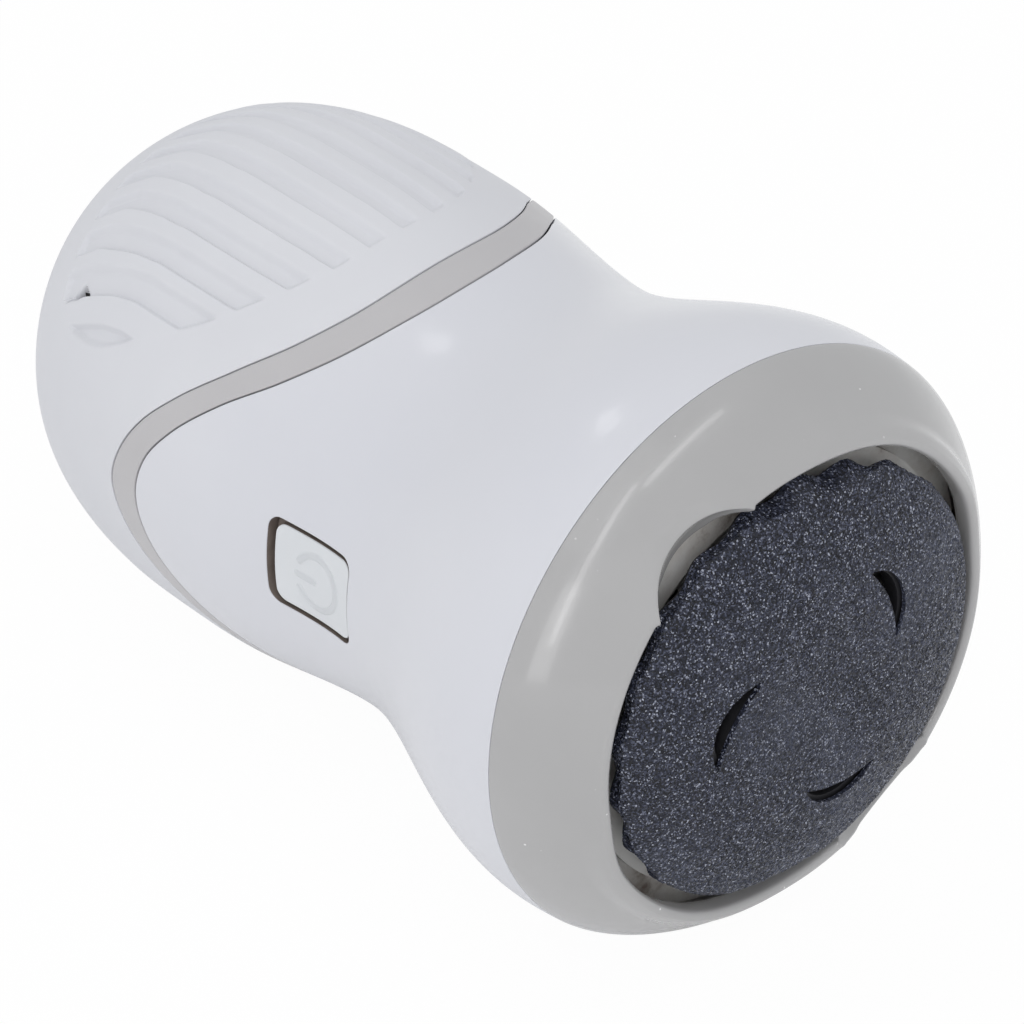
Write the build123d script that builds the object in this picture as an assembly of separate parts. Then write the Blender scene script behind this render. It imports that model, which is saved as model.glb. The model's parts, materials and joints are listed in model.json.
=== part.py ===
from build123d import *
import os
import math

# Electric callus remover: a hand-held rotary foot file with a suction fan.
# The body is close to a solid of revolution about X. It lies on its side:
# +X points out of the abrasive face, -Y is the power button side, +Z is up.
# The origin is the centre of the abrasive disc's flat working face. Units: mm.

# ---- driving dimensions ----------------------------------------------------
LENGTH = 123.5              # disc face to the tip of the rear cover
WALL = 2.2                  # shell wall
# outer profile (x, radius) of the housing and rear cover, front to rear
BODY = [(-13.95, 35.66), (-17.7, 36.0), (-23.7, 35.42), (-30.3, 33.46), (-38.7, 30.32),
        (-47.0, 28.39), (-55.4, 28.58), (-63.8, 29.8), (-72.1, 31.0), (-80.5, 31.32),
        (-88.9, 31.24), (-97.2, 30.1), (-105.6, 27.11), (-112.8, 21.59), (-118.7, 14.17)]
RING_REAR_X = -13.8         # joint between front ring and housing
RING_PROFILE = [(-5.0, 28.95), (-6.0, 30.3), (-8.0, 32.05), (-10.0, 33.5), (-12.0, 34.75), (-13.8, 35.64)]
LIP_X, LIP_R, LIP_ROUND = -4.95, 27.75, 0.75   # bead at the front edge of the ring
RING_BORE_R = 27.0
DISC_R = 26.0               # over the lobes of the scalloped edge
LOBES = 22
LOBE_DEPTH = 0.9
DISC_FLAT_R = 9.0
DISC_RIM_X = -6.6           # rear face of the disc's rim
GRIT = 0.8                  # abrasive layer
SLOT_ANGLES = (46.0, 166.0, 286.0)
NOTCH_ANGLE = 125.5         # first thumb scoop, measured from +Y towards +Z
NOTCH_R = 9.0               # ball radius of the scoop
NOTCH_X, NOTCH_OFF = 0.7, 24.35
BTN_X, BTN_LEN, BTN_WID = -52.65, 13.5, 11.3   # button opening
BTN_GAP = 0.45
BTN_TRAVEL = 0.5
SHAFT_R = 1.5
MOTOR_R, MOTOR_X0, MOTOR_X1 = 13.85, -41.0, -72.0
FAN_R = 20.0
CELL_R, CELL_L = 9.1, 35.0  # battery cell
CELL_X, CELL_Z = -91.5, -11.5
# trim band edges: x against the angle round the body, quarter turn from tongue to lobe
TRIM_REAR = [(0, -86.0), (9.3, -84.7), (19.6, -81.5), (29.5, -76.7), (41.3, -70.5), (54.6, -64.9), (70.5, -61.3), (90, -60.0)]
TRIM_FRONT = [(0, -80.9), (11.3, -79.4), (21.5, -75.6), (32.6, -70.1), (44.6, -63.9), (58.8, -58.8), (75.3, -55.6), (90, -54.7)]
# where the tongue (0), lobe (90), back tongue (180) and lower lobe (270) of the band sit round the body
TRIM_PHASE = [(0, -4.0), (45, 38.0), (90, 80.0), (135, 122.0), (180, 174.0), (225, 219.0), (270, 263.0), (315, 310.0), (360, 356.0)]
PAD_CENTRES = (80.0, 263.0) # ribbed grips, angle round the body
RIB_PITCH = 9.0             # degrees
RIB_DEPTH = 0.7
SLIDE_GAP = 0.3

os.makedirs("parts", exist_ok=True)


# ---- helpers ----------------------------------------------------------------
def interp(table, v):
    for (a0, b0), (a1, b1) in zip(table, table[1:]):
        if a0 <= v <= a1:
            return b0 + (b1 - b0) * (v - a0) / (a1 - a0)
    raise ValueError(v)


def smooth(table, v):
    # cubic through the table with the slopes of its neighbours, flat at both ends
    n = len(table)
    i = max(k for k in range(n - 1) if table[k][0] <= v + 1e-9)
    (x0, y0), (x1, y1) = table[i], table[i + 1]

    def slope(k):
        if k == 0 or k == n - 1:
            return 0.0
        return (table[k + 1][1] - table[k - 1][1]) / (table[k + 1][0] - table[k - 1][0])
    h = x1 - x0
    t = (v - x0) / h
    return ((2 * t**3 - 3 * t**2 + 1) * y0 + (t**3 - 2 * t**2 + t) * h * slope(i)
            + (-2 * t**3 + 3 * t**2) * y1 + (t**3 - t**2) * h * slope(i + 1))


def pol(r, deg, x=0.0):
    # angle from +Y towards +Z
    return Vector(x, r * math.cos(math.radians(deg)), r * math.sin(math.radians(deg)))


def phi(r, deg, x=0.0):
    # angle from the button side (-Y) towards +Z
    return Vector(x, -r * math.cos(math.radians(deg)), r * math.sin(math.radians(deg)))


def rev(*pts):
    # polygon of (x, r) turned about X
    return revolve(make_face(Polyline(*pts, close=True)), Axis.X, 360)


def rev_edges(*edges):
    return revolve(make_face(Curve() + list(edges)), Axis.X, 360)


def tube(x0, x1, ro, ri=0.0, y=0.0, z=0.0):
    lo, hi = min(x0, x1), max(x0, x1)
    s = Pos(lo, y, z) * Rot(0, 90, 0) * Cylinder(ro, hi - lo, align=(Align.CENTER, Align.CENTER, Align.MIN))
    if ri > 0:
        s -= Pos(lo - 1, y, z) * Rot(0, 90, 0) * Cylinder(ri, hi - lo + 2, align=(Align.CENTER, Align.CENTER, Align.MIN))
    return s


def rod(p, q, r):
    p, q = Vector(*p), Vector(*q)
    return Solid.make_cylinder(r, (q - p).length, Plane(origin=p, z_dir=(q - p).normalized()))


def box(x0, x1, y0, y1, z0, z1):
    return Pos((x0 + x1) / 2, (y0 + y1) / 2, (z0 + z1) / 2) * Box(abs(x1 - x0), abs(y1 - y0), abs(z1 - z0))


def turn(shape, deg):
    # turn about the long axis, +Y towards +Z
    return Rot(deg, 0, 0) * shape


NODES = {}


def keep(name, shape):
    solids = list(shape.solids()) if hasattr(shape, "solids") else [shape]
    solids = [s for s in solids if s.volume > 0.02]
    if not solids:
        print("EMPTY", name)
        return shape
    out = solids[0] if len(solids) == 1 else Compound(children=solids)
    out.label = name
    NODES[name] = out
    return out


# ---- shell blanks -------------------------------------------------------------
tip = (-LENGTH, 0.0)


def offset_points(offset):
    # the outer profile moved inwards by offset
    pts = []
    prof = [(x, r) for x, r in BODY] + [tip]
    n = len(prof)
    for i, (x, r) in enumerate(prof):
        if i == n - 1:
            pts.append((x + offset, 0.0))
            continue
        x0, r0 = prof[max(i - 1, 0)]
        x1, r1 = prof[i + 1]
        if i == 0:
            pts.append((x, r - offset))
            continue
        d = math.hypot(x1 - x0, r1 - r0)
        nx, nr = -(r1 - r0) / d, (x1 - x0) / d       # points inwards for a rearward run
        pts.append((x + nx * offset, r + nr * offset))
    return pts


def profile(pts):
    return Spline(*pts, tangents=[(-1.0, 0.13), (0.0, -1.0)])


def blank(offset):
    # full solid of revolution inside the offset profile
    pts = offset_points(offset)
    return rev_edges(profile(pts), Line(pts[-1], (pts[0][0], 0)), Line((pts[0][0], 0), pts[0]))


def skin(o0, o1):
    # solid of revolution between two offsets of the outer profile
    p, q = offset_points(o0), offset_points(o1)
    return rev_edges(profile(p), Line(p[-1], q[-1]), profile(q), Line(q[0], p[0]))


solid_outer = blank(0.0)
solid_inner = blank(WALL)
shell = skin(0.0, WALL)


def seam(table):
    rings = []
    for r in (10.0, 44.0):
        pts = []
        for k in range(72):
            u = k * 5.0
            q = u % 180.0
            q = q if q <= 90.0 else 180.0 - q
            pts.append(phi(r, interp(TRIM_PHASE, u), smooth(table, q)))
        rings.append(Spline(*pts, periodic=True).edge())
    return Face.make_surface_from_curves(rings[0], rings[1])


def side_of(shape, tool, want_rear):
    parts = sorted(shape.split(tool, keep=Keep.ALL), key=lambda s: s.center().X)
    return parts[0] if want_rear else parts[-1]


seam_rear = seam(TRIM_REAR)
seam_front = seam(TRIM_FRONT)
shell_solid = shell.solids().sort_by(SortBy.VOLUME)[-1]
rear_cover = side_of(shell_solid, seam_rear, True)
front_rest = side_of(shell_solid, seam_rear, False)
band = side_of(front_rest, seam_front, True)
housing = side_of(front_rest, seam_front, False)
print("shell pieces", [round(s.volume) for s in (shell_solid, rear_cover, band, housing)])

keep("trim_band", band)

# ---- rear cover: ribbed grips and exhaust slits ---------------------------------
groove_p, groove_q = offset_points(-2.0), offset_points(RIB_DEPTH)
groove_zone = make_face(Curve() + [profile(groove_p), Line(groove_p[-1], groove_q[-1]), profile(groove_q), Line(groove_q[0], groove_p[0])])


def groove(x0, x1, angle, width):
    # shallow channel of constant angular width along the body
    face = groove_zone & (Pos((x0 + x1) / 2, 30.0) * Rectangle(abs(x1 - x0), 40.0))
    # the section lies at +Y; angle runs from -Y towards +Z
    return turn(revolve(face, Axis.X, width), 180.0 - angle - width / 2)


cutters = []
for centre in PAD_CENTRES:
    for k in range(-5, 5):
        d = (k + 0.5) * RIB_PITCH
        q = abs(d)
        start = -66.6 - 0.0022 * q * q - 0.014 * max(q - 25.0, 0.0) ** 2
        cutters.append(groove(start, -98.0 + 0.06 * q, centre + d, 4.4))
        cutters.append(turn(box(-99.0, -101.6, 16.0, 36.0, -0.5, 0.5), 180.0 - centre - d))
for c in cutters:
    left = rear_cover - c
    if left is None or left.volume < 0.9 * rear_cover.volume or left.volume >= rear_cover.volume:
        print("cut skipped", c.bounding_box())
        continue
    rear_cover = left
keep("rear_cover", rear_cover)

# ---- main housing ------------------------------------------------------------------
housing = housing + (tube(-13.95, -19.5, 35.0, 32.9) & solid_outer)
BOSS = [(23.6, a) for a in (30.0, 150.0, 270.0)]
for r, a in BOSS:
    p = pol(r, a)
    boss = tube(-41.0, -50.0, 2.6, 0, p.Y, p.Z) + turn(box(-41.0, -50.0, r, r + 4.2, -1.2, 1.2), a)
    housing = housing + (boss & blank(0.8))
POSTS = [(-62.6, 6.0), (-62.6, -6.0), (-43.0, 6.0), (-43.0, -6.0)]
for x, z in POSTS:
    housing = housing + (rod((x, -17.3, z), (x, -29.0, z), 1.3) & blank(0.8))


def rounded(x0, x1, z0, z1, y0, y1, r):
    # rounded rectangle in XZ, extruded along Y
    w, h = abs(x1 - x0), abs(z1 - z0)
    f = Plane(origin=((x0 + x1) / 2, y0, (z0 + z1) / 2), x_dir=(1, 0, 0), z_dir=(0, 1, 0)) * RectangleRounded(w, h, r)
    return extrude(f, y1 - y0)


bx0, bx1 = BTN_X - BTN_LEN / 2, BTN_X + BTN_LEN / 2
housing = housing - rounded(bx0, bx1, -BTN_WID / 2, BTN_WID / 2, -34.0, -22.0, 1.7)
PORT_X = -61.0
port_shape = rounded(PORT_X - 1.62, PORT_X + 1.62, -4.5, 4.5, 20.0, 40.0, 1.5)
housing = housing - port_shape
for r, a in BOSS:
    p = pol(r, a)
    housing = housing - tube(-40.0, -48.0, 1.15, 0, p.Y, p.Z)
keep("main_housing", housing)

# ---- front ring ---------------------------------------------------------------------
lip_in = (LIP_X, LIP_R - LIP_ROUND)
lip_top = (LIP_X + LIP_ROUND, LIP_R)
lip_out = (LIP_X + LIP_ROUND * math.cos(math.radians(55)), LIP_R + LIP_ROUND * math.sin(math.radians(55)))
ring_outer = Spline(lip_out, *RING_PROFILE, tangents=[(-0.62, 0.78), (-0.985, 0.17)])
ring = rev_edges(ThreePointArc(lip_in, (LIP_X + LIP_ROUND * math.cos(math.radians(-22)), LIP_R + LIP_ROUND * math.sin(math.radians(-22))), lip_out),
                 ring_outer,
                 Polyline((-13.8, 35.64), (-13.8, 32.55), (-18.5, 32.55), (-18.5, 30.8), (-10.0, 30.8), (-7.6, 29.3), (-6.6, 27.0), lip_in))
for a in (NOTCH_ANGLE, NOTCH_ANGLE + 180.0):
    c = pol(NOTCH_OFF, a, NOTCH_X)
    ball = Pos(c.X, c.Y, c.Z) * Sphere(NOTCH_R)
    pocket = (Pos(c.X, c.Y, c.Z) * Sphere(NOTCH_R + 1.3)) & rev((-5.2, 26.75), (-5.2, 28.6), (-10.1, 31.2), (-10.1, 26.75))
    ring = ring + pocket
    ring = ring - ball
ring = ring - tube(-15.3, -16.9, 33.0, 31.75)
keep("front_ring", ring)
keep("ring_seal", revolve(Pos(-16.1, 32.3) * Circle(0.55), Axis.X, 360))

# ---- abrasive disc and its carrier -----------------------------------------------------
rim_pts = []
for k in range(LOBES * 4):
    th = 360.0 * k / (LOBES * 4)
    rim_pts.append(Vector(0, 0, 0) + pol(DISC_R - LOBE_DEPTH / 2 + LOBE_DEPTH / 2 * math.cos(math.radians(LOBES * th)), th + 60.0))
rim_wire = Spline(*rim_pts, periodic=True)
rim_face = make_face(rim_wire)
prism = extrude(rim_face, 12, dir=(-1, 0, 0))


def dome(off, rear):
    # flat centre, then falling away to the rim; off moves it rearwards
    top = Line((-off, 0), (-off, DISC_FLAT_R))
    arc = Spline((-off, DISC_FLAT_R), (-off - 0.86, 17.0), (-off - 2.3, 22.2), (-off - 3.45, 25.0), tangents=[(0, 1), (-0.48, 0.88)])
    rim = ThreePointArc((-off - 3.45, 25.0), (-off - 4.05, 25.75), (-off - 4.9, 26.2))
    return rev_edges(top, arc, rim, Polyline((-off - 4.9, 26.2), (rear, 26.2), (rear, 0), (-off, 0)))


def crescent(a, x0, x1):
    p0, p1 = pol(10.7, a - 25.0), pol(14.5, a + 22.0)
    mid = (p0 + p1) * 0.5
    ch = (p1 - p0).normalized()
    out = Vector(0, -ch.Z, ch.Y)
    if out.dot(mid) < 0:
        out = out * -1
    m_out, m_in = mid + out * 3.3, mid + out * 1.0
    f = make_face(Curve() + [ThreePointArc(p0, m_out, p1), ThreePointArc(p1, m_in, p0)])
    return Pos(x0, 0, 0) * extrude(f, x1 - x0, dir=(1, 0, 0))


slots = [crescent(a, -14.0, 2.0) for a in SLOT_ANGLES]
grit = (dome(0.0, -5.4) - dome(GRIT, -5.6)) & prism
grit = grit - slots
keep("abrasive_disc", grit)
disc_body = dome(GRIT, DISC_RIM_X) & prism
disc_body = disc_body - rev((DISC_RIM_X - 1, 0), (DISC_RIM_X - 1, 23.6), (-5.4, 23.2), (-3.4, 17.0), (-3.0, 10.0), (-3.0, 0))
disc_body = disc_body + tube(-2.0, -9.6, 8.0)
hexa = extrude(Plane(origin=(-4.8, 0, 0), x_dir=(0, 1, 0), z_dir=(-1, 0, 0)) * RegularPolygon(5.1, 6, major_radius=False), 6)
disc_body = disc_body - hexa - tube(-3.6, -5.0, 4.0)
disc_body = disc_body - slots
disc_body = disc_body - grit
keep("disc_carrier", disc_body)
keep("disc_steel_plate", tube(-3.6, -4.6, 4.0))

# ---- spindle: hub, shaft, fan, armature ---------------------------------------------------
hub = extrude(Plane(origin=(-5.0, 0, 0), x_dir=(0, 1, 0), z_dir=(-1, 0, 0)) * RegularPolygon(5.0, 6, major_radius=False), 5.0)
hub = hub + tube(-10.0, -11.6, 7.2) + tube(-11.6, -18.0, 4.5)
hub = hub - tube(-4.0, -7.2, 3.0) - tube(-8.2, -19.0, SHAFT_R)
keep("drive_hub", hub)
keep("hub_magnet", tube(-5.0, -7.2, 3.0))
keep("motor_shaft", tube(-8.2, -77.0, SHAFT_R))

fan = tube(-35.0, -36.2, FAN_R, SHAFT_R) + tube(-30.0, -35.0, 4.2, SHAFT_R)
for k in range(9):
    a = 40.0 * k
    p0, p1, p2 = pol(8.5, a), pol(14.0, a + 13), pol(19.6, a + 34)
    q0, q1, q2 = pol(8.5, a + 4.5), pol(14.0, a + 17), pol(19.6, a + 37.5)
    f = make_face(Curve() + [ThreePointArc(p0, p1, p2), Line(p2, q2), ThreePointArc(q2, q1, q0), Line(q0, p0)])
    fan = fan + Pos(-35.2, 0, 0) * extrude(f, 5.4, dir=(1, 0, 0))
keep("fan_impeller", fan)

lam = tube(-47.0, -63.0, 9.0, SHAFT_R)
for k in range(5):
    lam = lam - turn(box(-46.0, -64.0, -0.7, 0.7, 5.0, 10.0), 72.0 * k) - turn(tube(-46.0, -64.0, 1.9, 0, 0, 6.2), 72.0 * k)
keep("armature_core", lam)
wind = []
for k in range(5):
    wind.append(turn(tube(-45.4, -64.6, 1.75, 0, 0, 6.2), 72.0 * k))
keep("armature_windings", Compound(children=[s for w in wind for s in w.solids()]))
comm = tube(-65.4, -70.4, 3.2, SHAFT_R)
keep("commutator", comm)

# ---- motor, fixed parts ---------------------------------------------------------------------
can = tube(MOTOR_X0, MOTOR_X1, MOTOR_R, MOTOR_R - 1.2) + tube(MOTOR_X0, MOTOR_X0 - 1.4, MOTOR_R, 3.0)
SCREW_Y = 8.0
for s in (1, -1):
    can = can - tube(-40.0, -43.0, 1.2, 0, 0, s * SCREW_Y)
keep("motor_can", can)
endcap = tube(MOTOR_X1, -74.6, MOTOR_R) + tube(MOTOR_X1 + 1.5, MOTOR_X1, MOTOR_R - 1.25, 9.0) + tube(-74.6, -76.2, 4.2)
endcap = endcap - tube(-70.0, -78.0, 3.0)
keep("motor_end_cap", endcap)
keep("front_bushing", tube(-39.6, -43.2, 3.0, SHAFT_R + 0.03))
keep("rear_bushing", tube(-72.2, -76.2, 3.0, SHAFT_R + 0.03))
mags = []
for s in (90.0, 270.0):
    arc = rev((-46.0, 9.9), (-46.0, MOTOR_R - 1.25), (-64.5, MOTOR_R - 1.25), (-64.5, 9.9))
    wedge = turn(box(-45.0, -66.0, 0.0, 20.0, -6.8, 6.8), s)
    mags.append(arc & wedge)
keep("field_magnets", Compound(children=[s for m in mags for s in m.solids()]))
brushes = []
for s in (0.0, 180.0):
    brushes.append(turn(box(-66.6, -69.6, 3.25, 8.6, -1.0, 1.0), s))
    brushes.append(turn(box(-66.2, -70.4, 8.6, 8.95, -1.6, 1.6), s))
keep("brushes", Compound(children=[s for b in brushes for s in b.solids()]))
keep("motor_sleeve", tube(-44.0, -69.0, 15.9, MOTOR_R))

bulkhead = (tube(-38.5, -41.0, 40.0) & solid_inner) - tube(-38.0, -42.0, 4.3)
for s in (1, -1):
    bulkhead = bulkhead - tube(-38.0, -42.0, 1.3, 0, 0, s * SCREW_Y)
for k in range(8):
    p = pol(18.6, 45.0 * k + 22.5)
    bulkhead = bulkhead - tube(-38.0, -42.0, 3.0, 0, p.Y, p.Z)
for r, a in BOSS:
    p = pol(r, a)
    bulkhead = bulkhead - tube(-38.0, -42.0, 1.4, 0, p.Y, p.Z)
keep("motor_bulkhead", bulkhead)
ms = [tube(-37.0, -38.5, 2.2, 0, 0, s * SCREW_Y) + tube(-38.5, -42.3, 1.2, 0, 0, s * SCREW_Y) for s in (1, -1)]
keep("motor_screws", Compound(children=[x for m in ms for x in m.solids()]))
bs = []
for r, a in BOSS:
    p = pol(r, a)
    bs.append(tube(-37.0, -38.5, 2.4, 0, p.Y, p.Z) + tube(-38.5, -47.0, 1.15, 0, p.Y, p.Z))
keep("bulkhead_screws", Compound(children=[x for m in bs for x in m.solids()]))

# ---- dust path ----------------------------------------------------------------------------------
plate = tube(-10.4, -12.0, 30.2, 8.6) + tube(-8.4, -10.4, 26.4, 22.5)   # raised dam under the edge of the disc
for k in range(24):
    a = 15.0 * k
    plate = plate - turn(box(-10.0, -13.0, 13.5, 19.5, -0.9, 0.9), a)
keep("suction_plate", plate)
keep("dust_sleeve", tube(-12.0, -24.3, 30.2, 28.8))
cup = tube(-12.0, -25.5, 9.4, 8.0) + tube(-24.3, -25.5, 30.2, 8.0)
cup = cup + (tube(-24.3, -25.5, 40.0, 29.0) & solid_inner)
for k in range(8):
    cup = cup - turn(box(-24.0, -26.0, 12.5, 23.0, -2.2, 2.2), 45.0 * k)
keep("dust_cup", cup)
frame_ = tube(-25.5, -27.4, 28.0, 24.5) + tube(-25.5, -27.4, 10.6, 8.6)
for k in range(4):
    frame_ = frame_ + turn(box(-26.8, -27.4, 10.0, 25.0, -0.8, 0.8), 90.0 * k + 22.5)
keep("filter_frame", frame_)
keep("filter_mesh", tube(-26.2, -26.8, 24.5, 10.6))
keep("fan_inlet_plate", (tube(-27.4, -28.6, 40.0) & solid_inner) - tube(-27.0, -29.0, 9.0))

# ---- power button, switch and its board ----------------------------------------------------------
cap = rounded(bx0 + 0.95, bx1 - BTN_GAP, -BTN_WID / 2 + BTN_GAP, BTN_WID / 2 - BTN_GAP, -33.0, -24.0, 1.4) & blank(0.25)
cap = cap + rounded(bx0 - 0.9, bx1 + 0.9, -6.1, 6.1, -25.0, -24.0, 1.4)
cap = cap + rod((BTN_X, -24.0, 0), (BTN_X, -22.4, 0), 2.0)
sym_x, sym_r, sym_w = -51.9, 3.3, 0.7
pl = Plane(origin=(sym_x, -34.0, 0), x_dir=(1, 0, 0), z_dir=(0, 1, 0))
ring2d = Circle(sym_r + sym_w / 2) - Circle(sym_r - sym_w / 2) - Pos(-sym_r, 0) * Rectangle(3.0, 3.0)
bar2d = Pos(-sym_r + 0.9, 0) * Rectangle(3.0, sym_w)
symbol = (extrude(pl * ring2d, 9) + extrude(pl * bar2d, 9)) & skin(0.13, 0.3)
cap = cap + symbol
keep("power_button", cap)
sw = box(BTN_X - 3, BTN_X + 3, -20.8, -17.3, -3, 3) - rod((BTN_X, -21.0, 0), (BTN_X, -19.0, 0), 1.9)
keep("tact_switch_body", sw)
keep("switch_plunger", rod((BTN_X, -22.3, 0), (BTN_X, -19.9, 0), 1.75))
keep("switch_board", box(-64.2, -41.4, -17.3, -16.1, -7.6, 7.6))

# ---- charging port ----------------------------------------------------------------------------------
port = rounded(PORT_X - 1.62, PORT_X + 1.62, -4.5, 4.5, 21.6, 28.8, 1.5)
port = port - rounded(PORT_X - 1.3, PORT_X + 1.3, -4.18, 4.18, 22.4, 30.0, 1.25)
port = port + box(PORT_X - 0.35, PORT_X + 0.35, 22.0, 27.6, -3.3, 3.3)
keep("charging_port", port)
keep("port_board", box(PORT_X - 1.62, PORT_X - 2.82, 18.0, 26.0, -7.5, 7.5))

# ---- battery, cradle, main board -----------------------------------------------------------------------
cell = Pos(CELL_X, 0, CELL_Z) * Rot(90, 0, 0) * Cylinder(CELL_R, CELL_L)
keep("battery_cell", cell)
cradle = box(-101.4, -81.6, -20.0, -17.7, -30.0, -9.0) + box(-101.4, -81.6, 17.7, 20.0, -30.0, -9.0) \
    + box(-101.4, -81.6, -12.0, -9.0, -30.0, -12.0) + box(-101.4, -81.6, 9.0, 12.0, -30.0, -12.0) + box(-101.4, -81.6, -20.0, 20.0, -23.0, -21.0)
cradle = (cradle - cell) & solid_inner
BOARD_Z = 0.4
for x in (-97.5, -85.5):
    for s in (1, -1):
        cradle = cradle + box(x - 1.4, x + 1.4, s * 17.7, s * 20.0, -10.0, BOARD_Z)
keep("battery_cradle", cradle)
keep("main_board", box(-102.0, -80.5, -20.0, 20.0, BOARD_Z, BOARD_Z + 1.6))
top = BOARD_Z + 1.6
parts_ = [box(-98.0, -93.0, -4.0, 1.0, top, top + 1.2), box(-90.0, -84.5, 6.0, 11.5, top, top + 3.0),
          box(-99.5, -95.0, 8.0, 16.0, top, top + 4.6), box(-86.5, -82.5, -14.0, -8.0, top, top + 4.6),
          Pos(-95.5, -12.0, top + 3.0) * Cylinder(3.0, 6.0)]
keep("board_components", Compound(children=[s for p in parts_ for s in p.solids()]))

for name, shape in NODES.items():
    export_step(shape, f"parts/{name}.step")
print(len(NODES), "nodes")
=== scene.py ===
import bpy, bmesh, json, math
import numpy as np
from mathutils import Vector, Matrix
from mathutils.geometry import delaunay_2d_cdt


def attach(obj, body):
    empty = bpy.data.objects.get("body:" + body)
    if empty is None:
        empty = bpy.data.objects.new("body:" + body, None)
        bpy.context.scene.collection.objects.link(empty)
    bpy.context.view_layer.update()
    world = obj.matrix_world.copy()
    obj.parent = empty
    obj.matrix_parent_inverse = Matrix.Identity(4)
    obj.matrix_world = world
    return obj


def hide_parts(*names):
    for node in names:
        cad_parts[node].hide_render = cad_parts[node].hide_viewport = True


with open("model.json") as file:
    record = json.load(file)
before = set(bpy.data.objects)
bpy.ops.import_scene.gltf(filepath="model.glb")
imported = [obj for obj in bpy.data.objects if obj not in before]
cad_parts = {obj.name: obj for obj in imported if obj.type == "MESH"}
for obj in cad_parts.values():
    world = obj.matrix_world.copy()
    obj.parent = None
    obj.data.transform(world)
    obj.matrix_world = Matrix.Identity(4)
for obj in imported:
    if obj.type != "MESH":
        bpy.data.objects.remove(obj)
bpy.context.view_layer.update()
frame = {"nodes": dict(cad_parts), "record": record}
NODES = frame["nodes"]
S = 0.001
rng = np.random.default_rng(11)

# ------------------------------------------------------------------ outer profile
BODY = [(-13.85, 35.645), (-17.7, 36.0), (-23.7, 35.42), (-30.3, 33.46), (-38.7, 30.32),
        (-47.0, 28.39), (-55.4, 28.58), (-63.8, 29.8), (-72.1, 31.0), (-80.5, 31.32),
        (-88.9, 31.24), (-97.2, 30.1), (-105.6, 27.11), (-112.8, 21.59), (-118.7, 14.17), (-123.5, 0.0)]
WALL = 2.2
TRIM_REAR = [(0, -85.4), (9.3, -84.1), (19.6, -80.9), (29.5, -76.2), (41.3, -70.1), (54.6, -64.6), (70.5, -60.9), (90, -59.75)]
TRIM_FRONT = [(0, -80.9), (11.3, -79.4), (21.5, -75.6), (32.6, -70.1), (44.6, -63.9), (58.8, -58.8), (75.3, -55.6), (90, -54.7)]
TRIM_PHASE = [(0, -4.0), (45, 38.0), (90, 80.0), (135, 122.8), (180, 174.0), (225, 219.0), (270, 263.0), (315, 310.0), (360, 356.0)]


def spline(pts, t0, t1, n=6000):
    """Clamped cubic through pts by chord length, sampled evenly."""
    p = np.array(pts, float)
    d = np.hypot(*np.diff(p, axis=0).T)
    s = np.r_[0, np.cumsum(d)]
    k = len(p)
    A = np.zeros((k, k)); B = np.zeros((k, p.shape[1]))
    A[0, 0] = 1; B[0] = t0; A[-1, -1] = 1; B[-1] = t1
    for i in range(1, k - 1):
        h0, h1 = d[i - 1], d[i]
        A[i, i - 1] = 1 / h0; A[i, i] = 2 * (1 / h0 + 1 / h1); A[i, i + 1] = 1 / h1
        B[i] = 3 * ((p[i] - p[i - 1]) / h0 ** 2 + (p[i + 1] - p[i]) / h1 ** 2)
    m = np.linalg.solve(A, B)
    q = np.linspace(0, s[-1], n)
    i = np.clip(np.searchsorted(s, q, side="right") - 1, 0, k - 2)
    h = d[i]; t = (q - s[i]) / h
    h00, h10, h01, h11 = 2*t**3-3*t**2+1, t**3-2*t**2+t, -2*t**3+3*t**2, t**3-t**2
    out = h00[:, None]*p[i] + (h10*h)[:, None]*m[i] + h01[:, None]*p[i+1] + (h11*h)[:, None]*m[i+1]
    return out


_p = spline(BODY, (-1.0, 0.13), (0.0, -1.0))
_p[:, 1] = np.clip(_p[:, 1], 0, 36.0)
SS = np.r_[0, np.cumsum(np.hypot(*np.diff(_p, axis=0).T))]
XX, RR = _p[:, 0], _p[:, 1]
_t = np.gradient(_p, SS, axis=0); _t /= np.linalg.norm(_t, axis=1)[:, None]
NX, NR = -_t[:, 1], _t[:, 0]
S_END = SS[-1]


def s_of_x(x):
    return np.interp(-np.asarray(x, float), -XX, SS)


def r_of_x(x, depth=0.0):
    xx, rr = XX + NX * depth, RR + NR * depth
    o = np.argsort(xx)
    return np.interp(x, xx[o], rr[o])


def on_body(s, ph, depth):
    s, ph, depth = np.broadcast_arrays(s, ph, depth)
    x = np.interp(s, SS, XX) + np.interp(s, SS, NX) * depth
    r = np.interp(s, SS, RR) + np.interp(s, SS, NR) * depth
    return np.stack([x, -r * np.cos(ph), r * np.sin(ph)], -1)


def hermite(table, v):
    t = np.array(table, float)
    n = len(t)
    m = np.zeros(n)
    m[1:-1] = (t[2:, 1] - t[:-2, 1]) / (t[2:, 0] - t[:-2, 0])
    i = np.clip(np.searchsorted(t[:, 0], v, side="right") - 1, 0, n - 2)
    h = t[i + 1, 0] - t[i, 0]
    u = (v - t[i, 0]) / h
    return (2*u**3-3*u**2+1)*t[i, 1] + (u**3-2*u**2+u)*h*m[i] + (-2*u**3+3*u**2)*t[i+1, 1] + (u**3-u**2)*h*m[i+1]


def seam_x(table, phi_deg):
    """x of a trim edge at each angle round the body."""
    ph = np.mod(np.asarray(phi_deg, float) + 4.0, 360.0) - 4.0
    # phase table made periodic and smooth
    pp = np.array(TRIM_PHASE, float)
    u = np.interp(ph, pp[:, 1], pp[:, 0])
    q = np.mod(u, 180.0)
    q = np.where(q <= 90, q, 180 - q)
    return hermite(table, q)


def smooth01(t):
    t = np.clip(t, 0, 1)
    return t * t * (3 - 2 * t)


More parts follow.
